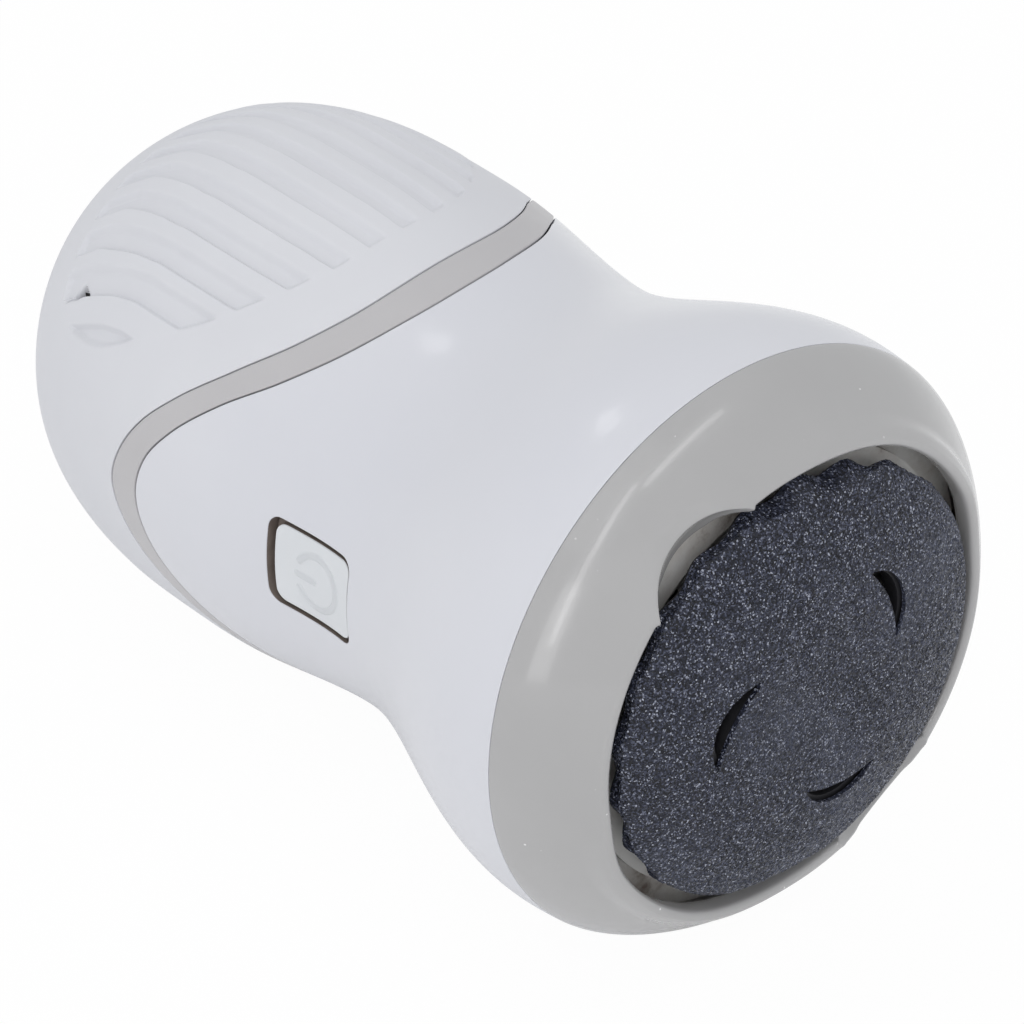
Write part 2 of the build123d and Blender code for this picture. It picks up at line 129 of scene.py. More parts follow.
def pol(r, deg, x=0.0):
    a = np.radians(deg)
    return np.array([x, r * np.cos(a), r * np.sin(a)])


# ------------------------------------------------------------------ mesh helpers
class Pool:
    def __init__(self):
        self.v, self.n, self.q, self.t, self.qm, self.tm = [], 0, [], [], [], []

    def add(self, pts):
        pts = np.asarray(pts, float)
        shape = pts.shape[:-1]
        pts = pts.reshape(-1, 3)
        i = np.arange(self.n, self.n + len(pts)).reshape(shape)
        self.v.append(pts); self.n += len(pts)
        return i

    def quads(self, f, m=0):
        f = np.asarray(f).reshape(-1, 4)
        self.q.append(f); self.qm.append(np.full(len(f), m))

    def tris(self, f, m=0):
        f = np.asarray(f).reshape(-1, 3)
        self.t.append(f); self.tm.append(np.full(len(f), m))

    def make(self, name, mats, smooth=True, recalc=True):
        V = np.concatenate(self.v) * S
        Q = np.concatenate(self.q) if self.q else np.zeros((0, 4), int)
        T = np.concatenate(self.t) if self.t else np.zeros((0, 3), int)
        M = np.concatenate([np.concatenate(self.qm) if self.qm else np.zeros(0), np.concatenate(self.tm) if self.tm else np.zeros(0)]).astype(np.int32)
        me = bpy.data.meshes.new(name)
        me.vertices.add(len(V)); me.vertices.foreach_set("co", V.astype(np.float32).ravel())
        loops = np.concatenate([Q.ravel(), T.ravel()]).astype(np.int32)
        starts = np.concatenate([np.arange(len(Q)) * 4, len(Q) * 4 + np.arange(len(T)) * 3]).astype(np.int32)
        me.loops.add(len(loops)); me.loops.foreach_set("vertex_index", loops)
        me.polygons.add(len(starts)); me.polygons.foreach_set("loop_start", starts)
        for m in mats:
            me.materials.append(m)
        me.polygons.foreach_set("material_index", M)
        me.polygons.foreach_set("use_smooth", np.full(len(starts), smooth, dtype=bool))
        me.update(calc_edges=True)
        me.validate()
        if recalc:
            bm = bmesh.new(); bm.from_mesh(me)
            bmesh.ops.recalc_face_normals(bm, faces=bm.faces[:])
            if bm.calc_volume(signed=True) < 0:
                bmesh.ops.reverse_faces(bm, faces=bm.faces[:])
            bm.to_mesh(me); bm.free()
        ob = bpy.data.objects.new(name, me)
        bpy.context.scene.collection.objects.link(ob)
        return ob


def grid(idx, wrap_i=False, wrap_j=False):
    a = np.vstack([idx, idx[:1]]) if wrap_i else idx
    b = np.hstack([a, a[:, :1]]) if wrap_j else a
    return np.stack([b[:-1, :-1], b[:-1, 1:], b[1:, 1:], b[1:, :-1]], -1).reshape(-1, 4)


def round_rect_sdf(x, z, a, b, r):
    qx, qz = np.abs(x) - (a - r), np.abs(z) - (b - r)
    return np.hypot(np.maximum(qx, 0), np.maximum(qz, 0)) + np.minimum(np.maximum(qx, qz), 0) - r


def ray_rect(ang, a, b, r):
    """Point of a rounded rectangle in each direction."""
    ux, uz = np.cos(ang), np.sin(ang)
    lo, hi = np.zeros_like(ang), np.full_like(ang, 4 * (a + b))
    for _ in range(46):
        m = (lo + hi) / 2
        ins = round_rect_sdf(m * ux, m * uz, a, b, r) < 0
        lo, hi = np.where(ins, m, lo), np.where(ins, hi, m)
    return np.stack([lo * ux, lo * uz], -1)


# ------------------------------------------------------------------ materials
def lin(c):
    return tuple(((v / 12.92) if v <= 0.04045 else ((v + 0.055) / 1.055) ** 2.4) for v in c) + (1.0,)


class Mat:
    """A Principled material with its nodes to hand."""
    def __init__(self, name, colour, rough=0.4, metal=0.0, spec=0.5, coat=0.0, coat_rough=0.05):
        self.m = bpy.data.materials.new(name); self.m.use_nodes = True
        nt = self.nt = self.m.node_tree
        self.p = nt.nodes["Principled BSDF"]
        self.p.inputs["Base Color"].default_value = lin(colour)
        self.p.inputs["Roughness"].default_value = rough
        self.p.inputs["Metallic"].default_value = metal
        self.p.inputs["Specular IOR Level"].default_value = spec
        self.p.inputs["Coat Weight"].default_value = coat
        self.p.inputs["Coat Roughness"].default_value = coat_rough
        self.co = nt.nodes.new("ShaderNodeTexCoord").outputs["Object"]
        self.colour = None; self.normal = None

    def noise(self, scale, detail=2.0, rough=0.5, stretch=None, kind="ShaderNodeTexNoise"):
        n = self.nt.nodes.new(kind)
        n.inputs["Scale"].default_value = scale
        if kind == "ShaderNodeTexNoise":
            n.inputs["Detail"].default_value = detail
            n.inputs["Roughness"].default_value = rough
        src = self.co
        if stretch:
            mp = self.nt.nodes.new("ShaderNodeMapping"); mp.inputs["Scale"].default_value = stretch
            self.nt.links.new(src, mp.inputs["Vector"]); src = mp.outputs["Vector"]
        self.nt.links.new(src, n.inputs["Vector"])
        return n.outputs["Fac"] if kind == "ShaderNodeTexNoise" else n.outputs["Distance"]

    def ramp(self, fac, stops):
        r = self.nt.nodes.new("ShaderNodeValToRGB")
        el = r.color_ramp.elements
        while len(el) < len(stops):
            el.new(0.5)
        for e, (p, c) in zip(el, stops):
            e.position = p
            e.color = lin(c) if len(c) == 3 else c
        self.nt.links.new(fac, r.inputs["Fac"])
        return r.outputs["Color"]

    def remap(self, fac, a, b, c, d, smooth=True):
        m = self.nt.nodes.new("ShaderNodeMapRange")
        m.interpolation_type = "SMOOTHSTEP" if smooth else "LINEAR"
        for k, v in zip(("From Min", "From Max", "To Min", "To Max"), (a, b, c, d)):
            m.inputs[k].default_value = v
        self.nt.links.new(fac, m.inputs["Value"])
        return m.outputs["Result"]

    def mix(self, fac, a, b):
        m = self.nt.nodes.new("ShaderNodeMix"); m.data_type = "RGBA"
        for sock, v in ((m.inputs[0], fac), (m.inputs[6], a), (m.inputs[7], b)):
            if isinstance(v, bpy.types.NodeSocket):
                self.nt.links.new(v, sock)
            elif isinstance(v, (int, float)):
                sock.default_value = v
            else:
                sock.default_value = lin(v)
        return m.outputs[2]

    def math(self, op, a, b=None):
        m = self.nt.nodes.new("ShaderNodeMath"); m.operation = op
        for sock, v in ((m.inputs[0], a), (m.inputs[1], b)):
            if v is None:
                continue
            if isinstance(v, bpy.types.NodeSocket):
                self.nt.links.new(v, sock)
            else:
                sock.default_value = v
        return m.outputs[0]

    def xyz(self):
        s = self.nt.nodes.new("ShaderNodeSeparateXYZ")
        self.nt.links.new(self.co, s.inputs[0])
        return s.outputs

    def set_colour(self, sock):
        self.nt.links.new(sock, self.p.inputs["Base Color"]); return self

    def set_rough(self, sock):
        self.nt.links.new(sock, self.p.inputs["Roughness"]); return self

    def bump(self, height, strength=0.2, dist=0.0001):
        b = self.nt.nodes.new("ShaderNodeBump")
        b.inputs["Strength"].default_value = strength
        b.inputs["Distance"].default_value = dist
        self.nt.links.new(height, b.inputs["Height"])
        if self.normal is not None:
            self.nt.links.new(self.normal, b.inputs["Normal"])
        self.normal = b.outputs["Normal"]
        self.nt.links.new(self.normal, self.p.inputs["Normal"])
        return self


def varied(name, c, dc, scale, rough, drough=0.05, metal=0.0, spec=0.5, coat=0.0, bump=0.1, bscale=4000.0, bdist=0.00003, stretch=None, coat_rough=0.05):
    """Base colour drifting gently between two tints, uneven gloss and a fine surface."""
    m = Mat(name, c, rough, metal, spec, coat, coat_rough)
    lo = tuple(max(0, v - dc) for v in c); hi = tuple(min(1, v + dc) for v in c)
    n = m.noise(scale, 3.0, 0.55, stretch)
    m.set_colour(m.ramp(n, [(0.3, lo), (0.7, hi)]))
    m.set_rough(m.remap(m.noise(scale * 2.3, 3.0), 0.3, 0.7, rough - drough, rough + drough))
    m.bump(m.noise(bscale, 2.0, 0.6, stretch), bump, bdist)
    return m


# body: glossy cool white moulding, very slight orange peel
m_body = Mat("gloss_white", (0.835, 0.838, 0.862), 0.22, spec=0.42, coat=0.25, coat_rough=0.08)
m_body.set_colour(m_body.ramp(m_body.noise(26.0, 3.0), [(0.3, (0.825, 0.829, 0.855)), (0.7, (0.843, 0.846, 0.868))]))
m_body.set_rough(m_body.remap(m_body.noise(60.0, 4.0), 0.3, 0.75, 0.19, 0.27))
m_body.bump(m_body.noise(900.0, 1.5), 0.06, 0.00002)

# rear cover: matt white
m_cover = Mat("matt_white", (0.83, 0.834, 0.853), 0.52, spec=0.35)
m_cover.set_colour(m_cover.ramp(m_cover.noise(30.0, 4.0), [(0.3, (0.828, 0.831, 0.851)), (0.7, (0.851, 0.854, 0.872))]))
m_cover.set_rough(m_cover.remap(m_cover.noise(80.0, 3.0), 0.3, 0.7, 0.47, 0.58))
m_cover.bump(m_cover.noise(5200.0, 2.5, 0.65), 0.12, 0.00003)
# vent floor colour: painted shade standing in for the dark inside of an opening
m_vent_shade = varied("vent_painted_shade", (0.16, 0.15, 0.15), 0.02, 300.0, 0.7)

# trim band: satin grey
m_trim = varied("satin_grey", (0.735, 0.728, 0.735), 0.007, 60.0, 0.33, 0.04, spec=0.4, bump=0.08, bscale=3500.0)

# front ring: glossy warm grey with fine scuffs and white dust
m_ring = Mat("gloss_grey", (0.668, 0.665, 0.668), 0.17, spec=0.5, coat=0.35, coat_rough=0.06)
base = m_ring.ramp(m_ring.noise(38.0, 4.0), [(0.3, (0.664, 0.661, 0.663)), (0.7, (0.687, 0.684, 0.686))])
speck = m_ring.noise(620.0, 0.0, 0.5, kind="ShaderNodeTexVoronoi")
gate = m_ring.noise(240.0, 2.0)
sp = m_ring.math("MULTIPLY", m_ring.remap(speck, 0.06, 0.11, 1.0, 0.0), m_ring.remap(gate, 0.575, 0.62, 0.0, 0.85))
m_ring.set_colour(m_ring.mix(sp, base, (0.93, 0.93, 0.93)))
m_ring.set_rough(m_ring.remap(m_ring.noise(110.0, 5.0, 0.6), 0.35, 0.75, 0.13, 0.27))
m_ring.bump(m_ring.noise(700.0, 2.0), 0.05, 0.00002)
# inside of the ring: same plastic, dull, with skin dust in patches
m_ring_in = Mat("gloss_grey_inside", (0.60, 0.59, 0.57), 0.5, spec=0.3)
c = m_ring_in.ramp(m_ring_in.noise(90.0, 5.0, 0.65), [(0.46, (0.87, 0.867, 0.86)), (0.60, (0.79, 0.775, 0.76)), (0.70, (0.52, 0.475, 0.445))])
m_ring_in.set_colour(c)
m_ring_in.bump(m_ring_in.noise(1800.0, 4.0, 0.7), 0.35, 0.00008)

# abrasive: dark blue-grey mineral grains in random tones, the brightest cells painted glints, and pale worn patches
m_grit = Mat("grit", (0.12, 0.125, 0.15), 0.42, spec=0.32)
vor = m_grit.nt.nodes.new("ShaderNodeTexVoronoi"); vor.inputs["Scale"].default_value = 6000.0
m_grit.nt.links.new(m_grit.co, vor.inputs["Vector"])
cell = m_grit.nt.nodes.new("ShaderNodeSeparateColor"); m_grit.nt.links.new(vor.outputs["Color"], cell.inputs[0])
# the top stops of this ramp paint a few grains bright as glints: painted highlights on top of the grains' own tones
dark = m_grit.ramp(cell.outputs[0], [(0.0, (0.018, 0.024, 0.045)), (0.3, (0.060, 0.069, 0.110)), (0.6, (0.142, 0.156, 0.214)), (0.84, (0.27, 0.286, 0.355)), (0.94, (0.42, 0.435, 0.50)), (1.0, (0.68, 0.695, 0.75))])
patch = m_grit.remap(m_grit.noise(70.0, 4.0, 0.6), 0.42, 0.72, 0.0, 0.2)
m_grit.set_colour(m_grit.mix(patch, dark, (0.36, 0.38, 0.45)))
m_grit.set_rough(m_grit.remap(cell.outputs[1], 0.2, 0.9, 0.22, 0.6))
m_grit.bump(m_grit.noise(5200.0, 3.0, 0.7), 0.5, 0.00006)

m_dark = varied("dark_plastic", (0.15, 0.15, 0.165), 0.02, 200.0, 0.55, bump=0.2, bscale=3000.0)
# gap colour for the button's well and the trim's rear wall: brown-grey dust with painted shade, darker than the plastic
# of those walls
m_gap_dust_shade = Mat("gap_dust_and_painted_shade", (0.45, 0.41, 0.385), 0.5, spec=0.3)
m_gap_dust_shade.set_colour(m_gap_dust_shade.ramp(m_gap_dust_shade.noise(500.0, 4.0), [(0.3, (0.42, 0.38, 0.355)), (0.7, (0.50, 0.46, 0.435))]))
m_gap_dust_shade.bump(m_gap_dust_shade.noise(3000.0, 3.0), 0.2, 0.00004)
m_button = Mat("button_white", (0.84, 0.85, 0.865), 0.25, spec=0.4, coat=0.15)
m_button.set_colour(m_button.ramp(m_button.noise(120.0, 3.0), [(0.3, (0.832, 0.842, 0.857)), (0.7, (0.85, 0.86, 0.873))]))
m_button.bump(m_button.noise(1200.0, 1.5), 0.05, 0.00002)
m_symbol = Mat("button_symbol", (0.80, 0.81, 0.825), 0.33, spec=0.4)
m_symbol.set_colour(m_symbol.ramp(m_symbol.noise(160.0, 3.0), [(0.3, (0.79, 0.80, 0.815)), (0.7, (0.812, 0.822, 0.837))]))
m_symbol.bump(m_symbol.noise(1500.0, 1.5), 0.06, 0.00002)

m_rubber = varied("black_rubber", (0.10, 0.10, 0.10), 0.02, 400.0, 0.75, bump=0.25)
m_steel = varied("steel", (0.66, 0.66, 0.66), 0.04, 300.0, 0.32, 0.08, metal=1.0, bump=0.25, bscale=2600.0, stretch=(1.0, 12.0, 12.0))
m_nickel = varied("nickel", (0.75, 0.74, 0.71), 0.03, 400.0, 0.2, 0.05, metal=1.0, bump=0.08)
m_greypl = varied("grey_plastic", (0.60, 0.60, 0.59), 0.03, 120.0, 0.48, 0.07, bump=0.2, bscale=3000.0)
# suction plate and dust cup: grey plastic with clinging brown dust
m_plate = Mat("grey_plastic_dusty", (0.62, 0.61, 0.59), 0.5, spec=0.35)
m_plate.set_colour(m_plate.ramp(m_plate.noise(85.0, 6.0, 0.68), [(0.45, (0.88, 0.877, 0.87)), (0.60, (0.80, 0.785, 0.77)), (0.71, (0.52, 0.47, 0.44))]))
m_plate.set_rough(m_plate.remap(m_plate.noise(90.0, 4.0), 0.3, 0.7, 0.4, 0.75))
m_plate.bump(m_plate.noise(2200.0, 5.0, 0.7), 0.35, 0.00008)
m_copper = varied("copper", (0.78, 0.45, 0.30), 0.05, 500.0, 0.3, 0.06, metal=1.0, bump=0.3, bscale=2200.0, stretch=(14.0, 1.0, 1.0))
m_bronze = varied("bronze", (0.62, 0.47, 0.28), 0.05, 600.0, 0.45, 0.08, metal=1.0, bump=0.35)
m_ferrite = varied("ferrite", (0.17, 0.17, 0.18), 0.02, 500.0, 0.7, 0.1, bump=0.35)
m_blackpl = varied("black_plastic", (0.11, 0.11, 0.12), 0.02, 200.0, 0.45, 0.06, bump=0.2)
m_felt = varied("felt", (0.78, 0.78, 0.75), 0.06, 900.0, 0.95, 0.03, spec=0.1, bump=0.8, bscale=3200.0, bdist=0.00015)
m_board = varied("board", (0.06, 0.30, 0.15), 0.03, 260.0, 0.35, 0.06, bump=0.15)
m_cell = varied("cell", (0.22, 0.38, 0.63), 0.03, 120.0, 0.3, 0.06, coat=0.2, bump=0.1)

SLOT_MAT = {"gloss_white": m_body, "matt_white": m_cover, "satin_grey": m_trim, "gloss_grey": m_ring, "black_rubber": m_rubber,
            "grit": m_grit, "dark_plastic": m_dark, "steel": m_steel, "nickel": m_nickel, "grey_plastic": m_greypl, "copper": m_copper,
            "bronze": m_bronze, "ferrite": m_ferrite, "black_plastic": m_blackpl, "felt": m_felt, "board": m_board, "cell": m_cell}
NODE_SLOT = {s["node"]: s["material_slot"] for s in frame["record"]["subparts"]}
for name, o in NODES.items():
    m = SLOT_MAT[NODE_SLOT[name]].m
    if name in ("suction_plate", "dust_cup", "dust_sleeve", "filter_frame"):
        m = m_plate.m
    o.data.materials.clear(); o.data.materials.append(m)

# ------------------------------------------------------------------ main housing with its two openings
GAP, EDGE = 0.24, 0.16
GAP_R, EDGE_R = 0.12, 0.10
phi_h = np.radians(np.arange(720) * 0.5 - 90.0)
front_s = 0.0
FRONT_E = 0.06


def edge_rows(side, s_edge, rho, wall, rows_wall=3, rows_fillet=4):
    """(s, depth) rows from the inner skin to the flat outer skin at an edge; side +1 if the piece lies at larger s."""
    out = []
    for k in range(rows_wall):
        out.append((s_edge, wall + (rho - wall) * (k + 0.0) / rows_wall))
    for k in range(rows_fillet + 1):
        a = math.radians(90.0 * k / rows_fillet)
        out.append((s_edge + side * rho * (1 - math.cos(a)), rho * (1 - math.sin(a))))
    return out


def add_rows(pool, rows, ph):
    pts = [on_body(s, ph, d) for s, d in rows]
    return pool.add(np.array(pts))


def hole_patch(pool, out_xz_idx, in_xz_idx, pts_out, pts_in, cx, cz, a, b, rc, sign, rho=0.28, m_wall=0):
    """Joins the outer and inner skins round a rounded opening: rows of points from inner boundary to outer boundary."""
    def loop_angles(p):
        return np.arctan2(p[:, 2] - cz, p[:, 0] - cx)
    ang = loop_angles(pts_out)
    rows = []

    def outer_y(x, z, e):
        return sign * (np.sqrt(r_of_x(x) ** 2 - z ** 2) - e)

    def inner_y(x, z, e):
        return sign * (np.sqrt(r_of_x(x, WALL) ** 2 - z ** 2) + e)
    near_out = [(0.0, rho)] + [(rho * (1 - math.cos(t)), rho * (1 - math.sin(t))) for t in np.radians([22.5, 45, 67.5, 90])] + [(rho + 0.25, 0.0), (rho + 0.6, 0.0)]
    # inner skin, from its boundary to the opening
    angi = loop_angles(pts_in)
    e0 = ray_rect(angi, a + 0.4, b + 0.4, rc + 0.4)
    for k in range(1, 8):
        w = k / 7.0
        p = pts_in[:, [0, 2]] * (1 - w) + (e0 + [cx, cz]) * w
        rows.append(np.stack([p[:, 0], inner_y(p[:, 0], p[:, 1], 0), p[:, 1]], -1))
    edge = ray_rect(ang, a, b, rc) + [cx, cz]
    yi, yo = inner_y(edge[:, 0], edge[:, 1], 0), outer_y(edge[:, 0], edge[:, 1], rho)
    for w in (0.0, 0.33, 0.66):
        rows.append(np.stack([edge[:, 0], yi * (1 - w) + yo * w, edge[:, 1]], -1))
    nwall = len(rows)
    for d, e in near_out:
        p = ray_rect(ang, a + d, b + d, rc + d) + [cx, cz]
        rows.append(np.stack([p[:, 0], outer_y(p[:, 0], p[:, 1], e), p[:, 1]], -1))
    last = p
    n = 16
    for k in range(1, n):
        w = k / n
        p = last * (1 - w) + pts_out[:, [0, 2]] * w
        rows.append(np.stack([p[:, 0], outer_y(p[:, 0], p[:, 1], 0), p[:, 1]], -1))
    idx = pool.add(np.array(rows))
    full = np.vstack([in_xz_idx[None], idx, out_xz_idx[None]])
    q = grid(full, wrap_j=True).reshape(len(full) - 1, full.shape[1], 4)
    # the wall rows take m_wall, which for the button opening is the gap colour: dust with painted shade
    pool.quads(q[:7]); pool.quads(q[7:11], m_wall); pool.quads(q[11:])


def boundary(i0, i1, j0, j1):
    """(i, j) round a block of the lattice, in order."""
    a = [(i0, j) for j in range(j0, j1)]
    b = [(i, j1) for i in range(i0, i1)]
    c = [(i1, j) for j in range(j1, j0, -1)]
    d = [(i, j0) for i in range(i1, i0, -1)]
    return np.array(a + b + c + d)


def make_housing():
    pool = Pool()
    ph = phi_h
    sB = s_of_x(seam_x(TRIM_FRONT, np.degrees(ph))) - GAP / 2
    n = 150
    t = np.linspace(0, 1, n)
    s0, s1 = front_s + FRONT_E, sB - EDGE
    lat_s = s0 + (s1 - s0)[None, :] * t[:, None]
    out_pts = on_body(lat_s, ph[None], 0.0)
    in_lo, in_hi = front_s + 0.0, sB
    lat_si = in_lo + (in_hi - in_lo)[None, :] * t[:, None]
    in_pts = on_body(lat_si, ph[None], WALL)
    iout, iin = pool.add(out_pts), pool.add(in_pts)
    # edges
    fr = edge_rows(+1, np.full_like(ph, front_s), FRONT_E, WALL)
    re = edge_rows(-1, sB, EDGE, WALL)
    fi = add_rows(pool, fr[1:-1], ph); ri = add_rows(pool, re[1:-1], ph)
    pool.quads(grid(np.vstack([iin[:1], fi, iout[:1]]), wrap_j=True))
    pool.quads(grid(np.vstack([iin[-1:], ri, iout[-1:]]), wrap_j=True))
    keep = np.ones((n - 1, len(ph)), bool)
    holes = []
    for (cx, cz, a, b, rc, jc, jw, t0, t1, sign, rho) in ((-52.65, -0.25, 6.75, 5.7, 1.7, 180, 48, 0.42, 0.80, -1.0, 0.12), (-61.0, 0.0, 1.62, 4.5, 1.5, 540, 34, 0.62, 0.80, 1.0, 0.28)):
        i0, i1 = int(t0 * (n - 1)), int(t1 * (n - 1))
        j0, j1 = jc - jw, jc + jw
        keep[i0:i1, j0:j1] = False
        holes.append((cx, cz, a, b, rc, sign, rho, boundary(i0, i1, j0, j1)))
    qo = grid(iout, wrap_j=True).reshape(n - 1, len(ph), 4)[keep]
    qi = grid(iin, wrap_j=True).reshape(n - 1, len(ph), 4)[keep]
    pool.quads(qo); pool.quads(qi)
    for cx, cz, a, b, rc, sign, rho, bd in holes:
        io, ii = iout[bd[:, 0], bd[:, 1]], iin[bd[:, 0], bd[:, 1]]
        hole_patch(pool, io, ii, out_pts[bd[:, 0], bd[:, 1]], in_pts[bd[:, 0], bd[:, 1]], cx, cz, a, b, rc, sign, rho, 1 if sign < 0 else 0)
    return pool.make("housing_shell", [m_body.m, m_gap_dust_shade.m])


housing = make_housing()
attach(housing, "housing"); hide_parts("main_housing")


# ------------------------------------------------------------------ trim band
def make_trim():
    pool = Pool()
    ph = np.radians(np.arange(900) * 0.4)
    deg = np.degrees(ph)
    sF = s_of_x(seam_x(TRIM_FRONT, deg)) + GAP / 2
    sR = s_of_x(seam_x(TRIM_REAR, deg)) - GAP_R / 2
    fr = edge_rows(+1, sF, EDGE, WALL); re = edge_rows(-1, sR, 0.34, WALL)
    a, b = fr[-1][0], re[-1][0]
    rows = list(fr)
    for k in range(1, 16):
        w = k / 16.0
        rows.append((a * (1 - w) + b * w, 0.0))
    rows += re[::-1]
    for k in range(1, 6):
        w = k / 6.0
        rows.append((sR * (1 - w) + sF * w, WALL))
    idx = add_rows(pool, rows, ph)
    q = grid(idx, wrap_i=True, wrap_j=True).reshape(len(rows), len(ph), 4)
    k0 = len(fr) + 15 + len(re) - 4
    # the trim's rear wall rows take the gap colour: dust with painted shade
    pool.quads(q[:k0]); pool.quads(q[k0:k0 + 3], 1); pool.quads(q[k0 + 3:])
    return pool.make("trim_ring", [m_trim.m, m_gap_dust_shade.m])


trim = make_trim()
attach(trim, "housing"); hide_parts("trim_band")

# ------------------------------------------------------------------ rear cover with ribbed grips
PAD_BORDER = [(-72.2, 111.7), (-70.5, 107.9), (-68.3, 101.4), (-66.7, 91.2), (-66.4, 83.4), (-66.5, 76.2), (-67.2, 65.8),
              (-69.4, 56.7), (-71.2, 51.5), (-73.3, 46.8), (-75.6, 41.8), (-79.3, 36.3), (-84.0, 30.6), (-89.7, 23.9),
              (-93.4, 21.9), (-97.5, 22.0), (-100.4, 23.9), (-102.0, 28.4), (-103.2, 37.2), (-104.2, 50.0), (-104.8, 65.0), (-105.0, 80.0),
              (-104.8, 95.0), (-104.2, 110.0), (-103.0, 122.8), (-101.9, 131.6), (-100.2, 135.5), (-97.5, 137.0), (-93.4, 136.9),
              (-89.7, 135.5), (-84.0, 129.4), (-79.3, 123.7), (-75.6, 118.2)]
BEND = np.array([(-60, 0), (-88, 0), (-92, -1.0), (-95, -2.5), (-99, -5.2), (-102, -9.0), (-104, -11.5), (-110, -20)], float)[::-1]


def closed_smooth(pts, n=400):
    """Catmull-Rom through closed points."""
    p = np.array(pts, float); k = len(p)
    u = np.linspace(0, k, n, endpoint=False); i = u.astype(int); t = (u - i)[:, None]
    p0, p1, p2, p3 = p[(i - 1) % k], p[i % k], p[(i + 1) % k], p[(i + 2) % k]
    return 0.5 * ((2*p1) + (-p0+p2)*t + (2*p0-5*p1+4*p2-p3)*t**2 + (-p0+3*p1-3*p2+p3)*t**3)


LEAN_X = np.array([-101.0, -99.0, -95.0, -90.0, -84.0, -76.0, -66.0])
LEAN = np.array([0.0, 0.0, -0.5, -0.8, -0.8, -0.7, 0.0])
FAN_D = np.array([-60.0, -49.5, -40.5, -31.5, -22.5, -13.5, 0.0])
FAN = np.array([-2.6, -2.6, -2.4, 1.1, 2.2, 2.7, 2.8])


def pad_warp(x, d):
    """How far the ribs of one grip lean round the body at x, in degrees; d is the rib's own angle."""
    xc = np.maximum(x, -105.0)
    w = np.interp(xc, BEND[:, 0], BEND[:, 1]) + np.interp(xc, LEAN_X, LEAN)
    w = w + smooth01((-88.0 - xc) / 12.0) * np.interp(d, FAN_D, FAN)
    return w * np.where(d > 0, smooth01((76.0 - d) / 19.0), smooth01((88.0 + d) / 31.0))


def channel_half(c):
    return float(np.interp(c, (-40.5, -31.5, -22.5, -13.5), (2.85, 2.3, 2.05, 1.9)))


CHANNELS = [-40.5 + 9.0 * k for k in range(10)]
LENS = 50.6


def pad_columns():
    out = []
    for c in CHANNELS:
        h = channel_half(c)
        out += [c - h + o for o in (-0.5, -0.32, -0.2, -0.12, -0.04, 0.04, 0.12, 0.2, 0.32, 0.5)]
        out += [c + h + o for o in (-1.1, -0.85, -0.65, -0.45, -0.25, -0.08, 0.08, 0.25, 0.45, 0.65, 0.85, 1.1)]
    for e in (-LENS, LENS):
        out += [e + o for o in (-0.9, -0.6, -0.4, -0.2, 0.0, 0.2, 0.4, 0.6, 0.9)]
    out = np.sort(np.array(out))
    for f in np.arange(-88.0, 76.01, 0.55):
        if np.min(np.abs(out - f)) > 0.24:
            out = np.append(out, f)
    return np.sort(out)


def pad_field(x, d, dphi):
    """Depth below the plain surface for one grip; d is the rib coordinate, dphi the true angle from the grip's middle."""
    rad = r_of_x(x)
    bx = closed_smooth(PAD_BORDER)
    b = np.stack([bx[:, 0], (bx[:, 1] - 80.0)], -1)
    # distance to the border in millimetres, measured with the local radius
    px, py = x.ravel(), dphi.ravel()
    scale = np.radians(1.0) * np.maximum(rad.ravel(), 18.0)
    dist = np.full(px.shape, 1e9); inside = np.zeros(px.shape, bool)
    near = (np.abs(py) < 66) & (px > -107) & (px < -62)
    qx, qy, sc = px[near], py[near], scale[near]
    dn = np.full(qx.shape, 1e9); ins = np.zeros(qx.shape, bool)
    for k in range(len(b)):
        ax, ay = b[k]; cx, cy = b[(k + 1) % len(b)]
        vx, vy = cx - ax, (cy - ay) * sc
        wx, wy = qx - ax, (qy - ay) * sc
        h = np.clip((wx * vx + wy * vy) / (vx * vx + vy * vy), 0, 1)
        dn = np.minimum(dn, np.hypot(wx - vx * h, wy - vy * h))
        cross = ((ay > qy) != (cy > qy)) & (qx < (cx - ax) * (qy - ay) / (cy - ay + 1e-12) + ax)
        ins ^= cross
    dist[near] = dn; inside[near] = ins
    sd = np.where(inside, dist, -dist).reshape(x.shape)
    raised = -0.09 * smooth01((sd + 0.7) / 1.4)
    cut = np.zeros(x.shape)
    for c in CHANNELS:
        h = channel_half(c)
        cut = np.maximum(cut, smooth01((d - c + h + 0.3) / 0.6) * smooth01((h + 1.1 - (d - c)) / 2.2))
    cut = np.maximum(cut, smooth01((np.abs(d) - LENS + 0.8) / 1.6))
    depth = raised + 0.66 * cut * smooth01((sd - 0.02) / 0.6)
    # three-cornered vent at the rear end of the lowest channel: a shallow dent, its floor painted dark as shade for the
    # opening
    tri = np.array([(-98.8, -48.2), (-97.0, -49.5), (-100.2, -53.2)])
    sc = np.radians(1.0) * rad
    lo = np.full(x.shape, -1e9)
    area = 0.0
    for k in range(3):
        ax, ay = tri[k]; cx, cy = tri[(k + 1) % 3]
        vx, vy = cx - ax, (cy - ay) * 0.5
        nx, ny = vy, -vx
        n = math.hypot(nx, ny)
        other = tri[(k + 2) % 3]
        sgn = -1.0 if ((other[0] - ax) * nx + (other[1] - ay) * 0.5 * ny) > 0 else 1.0
        lo = np.maximum(lo, sgn * ((x - ax) * nx + (dphi - ay) * 0.5 * ny) / n)
    depth = depth + 1.15 * smooth01((0.16 - lo) / 0.3)
    return depth, lo < -0.02


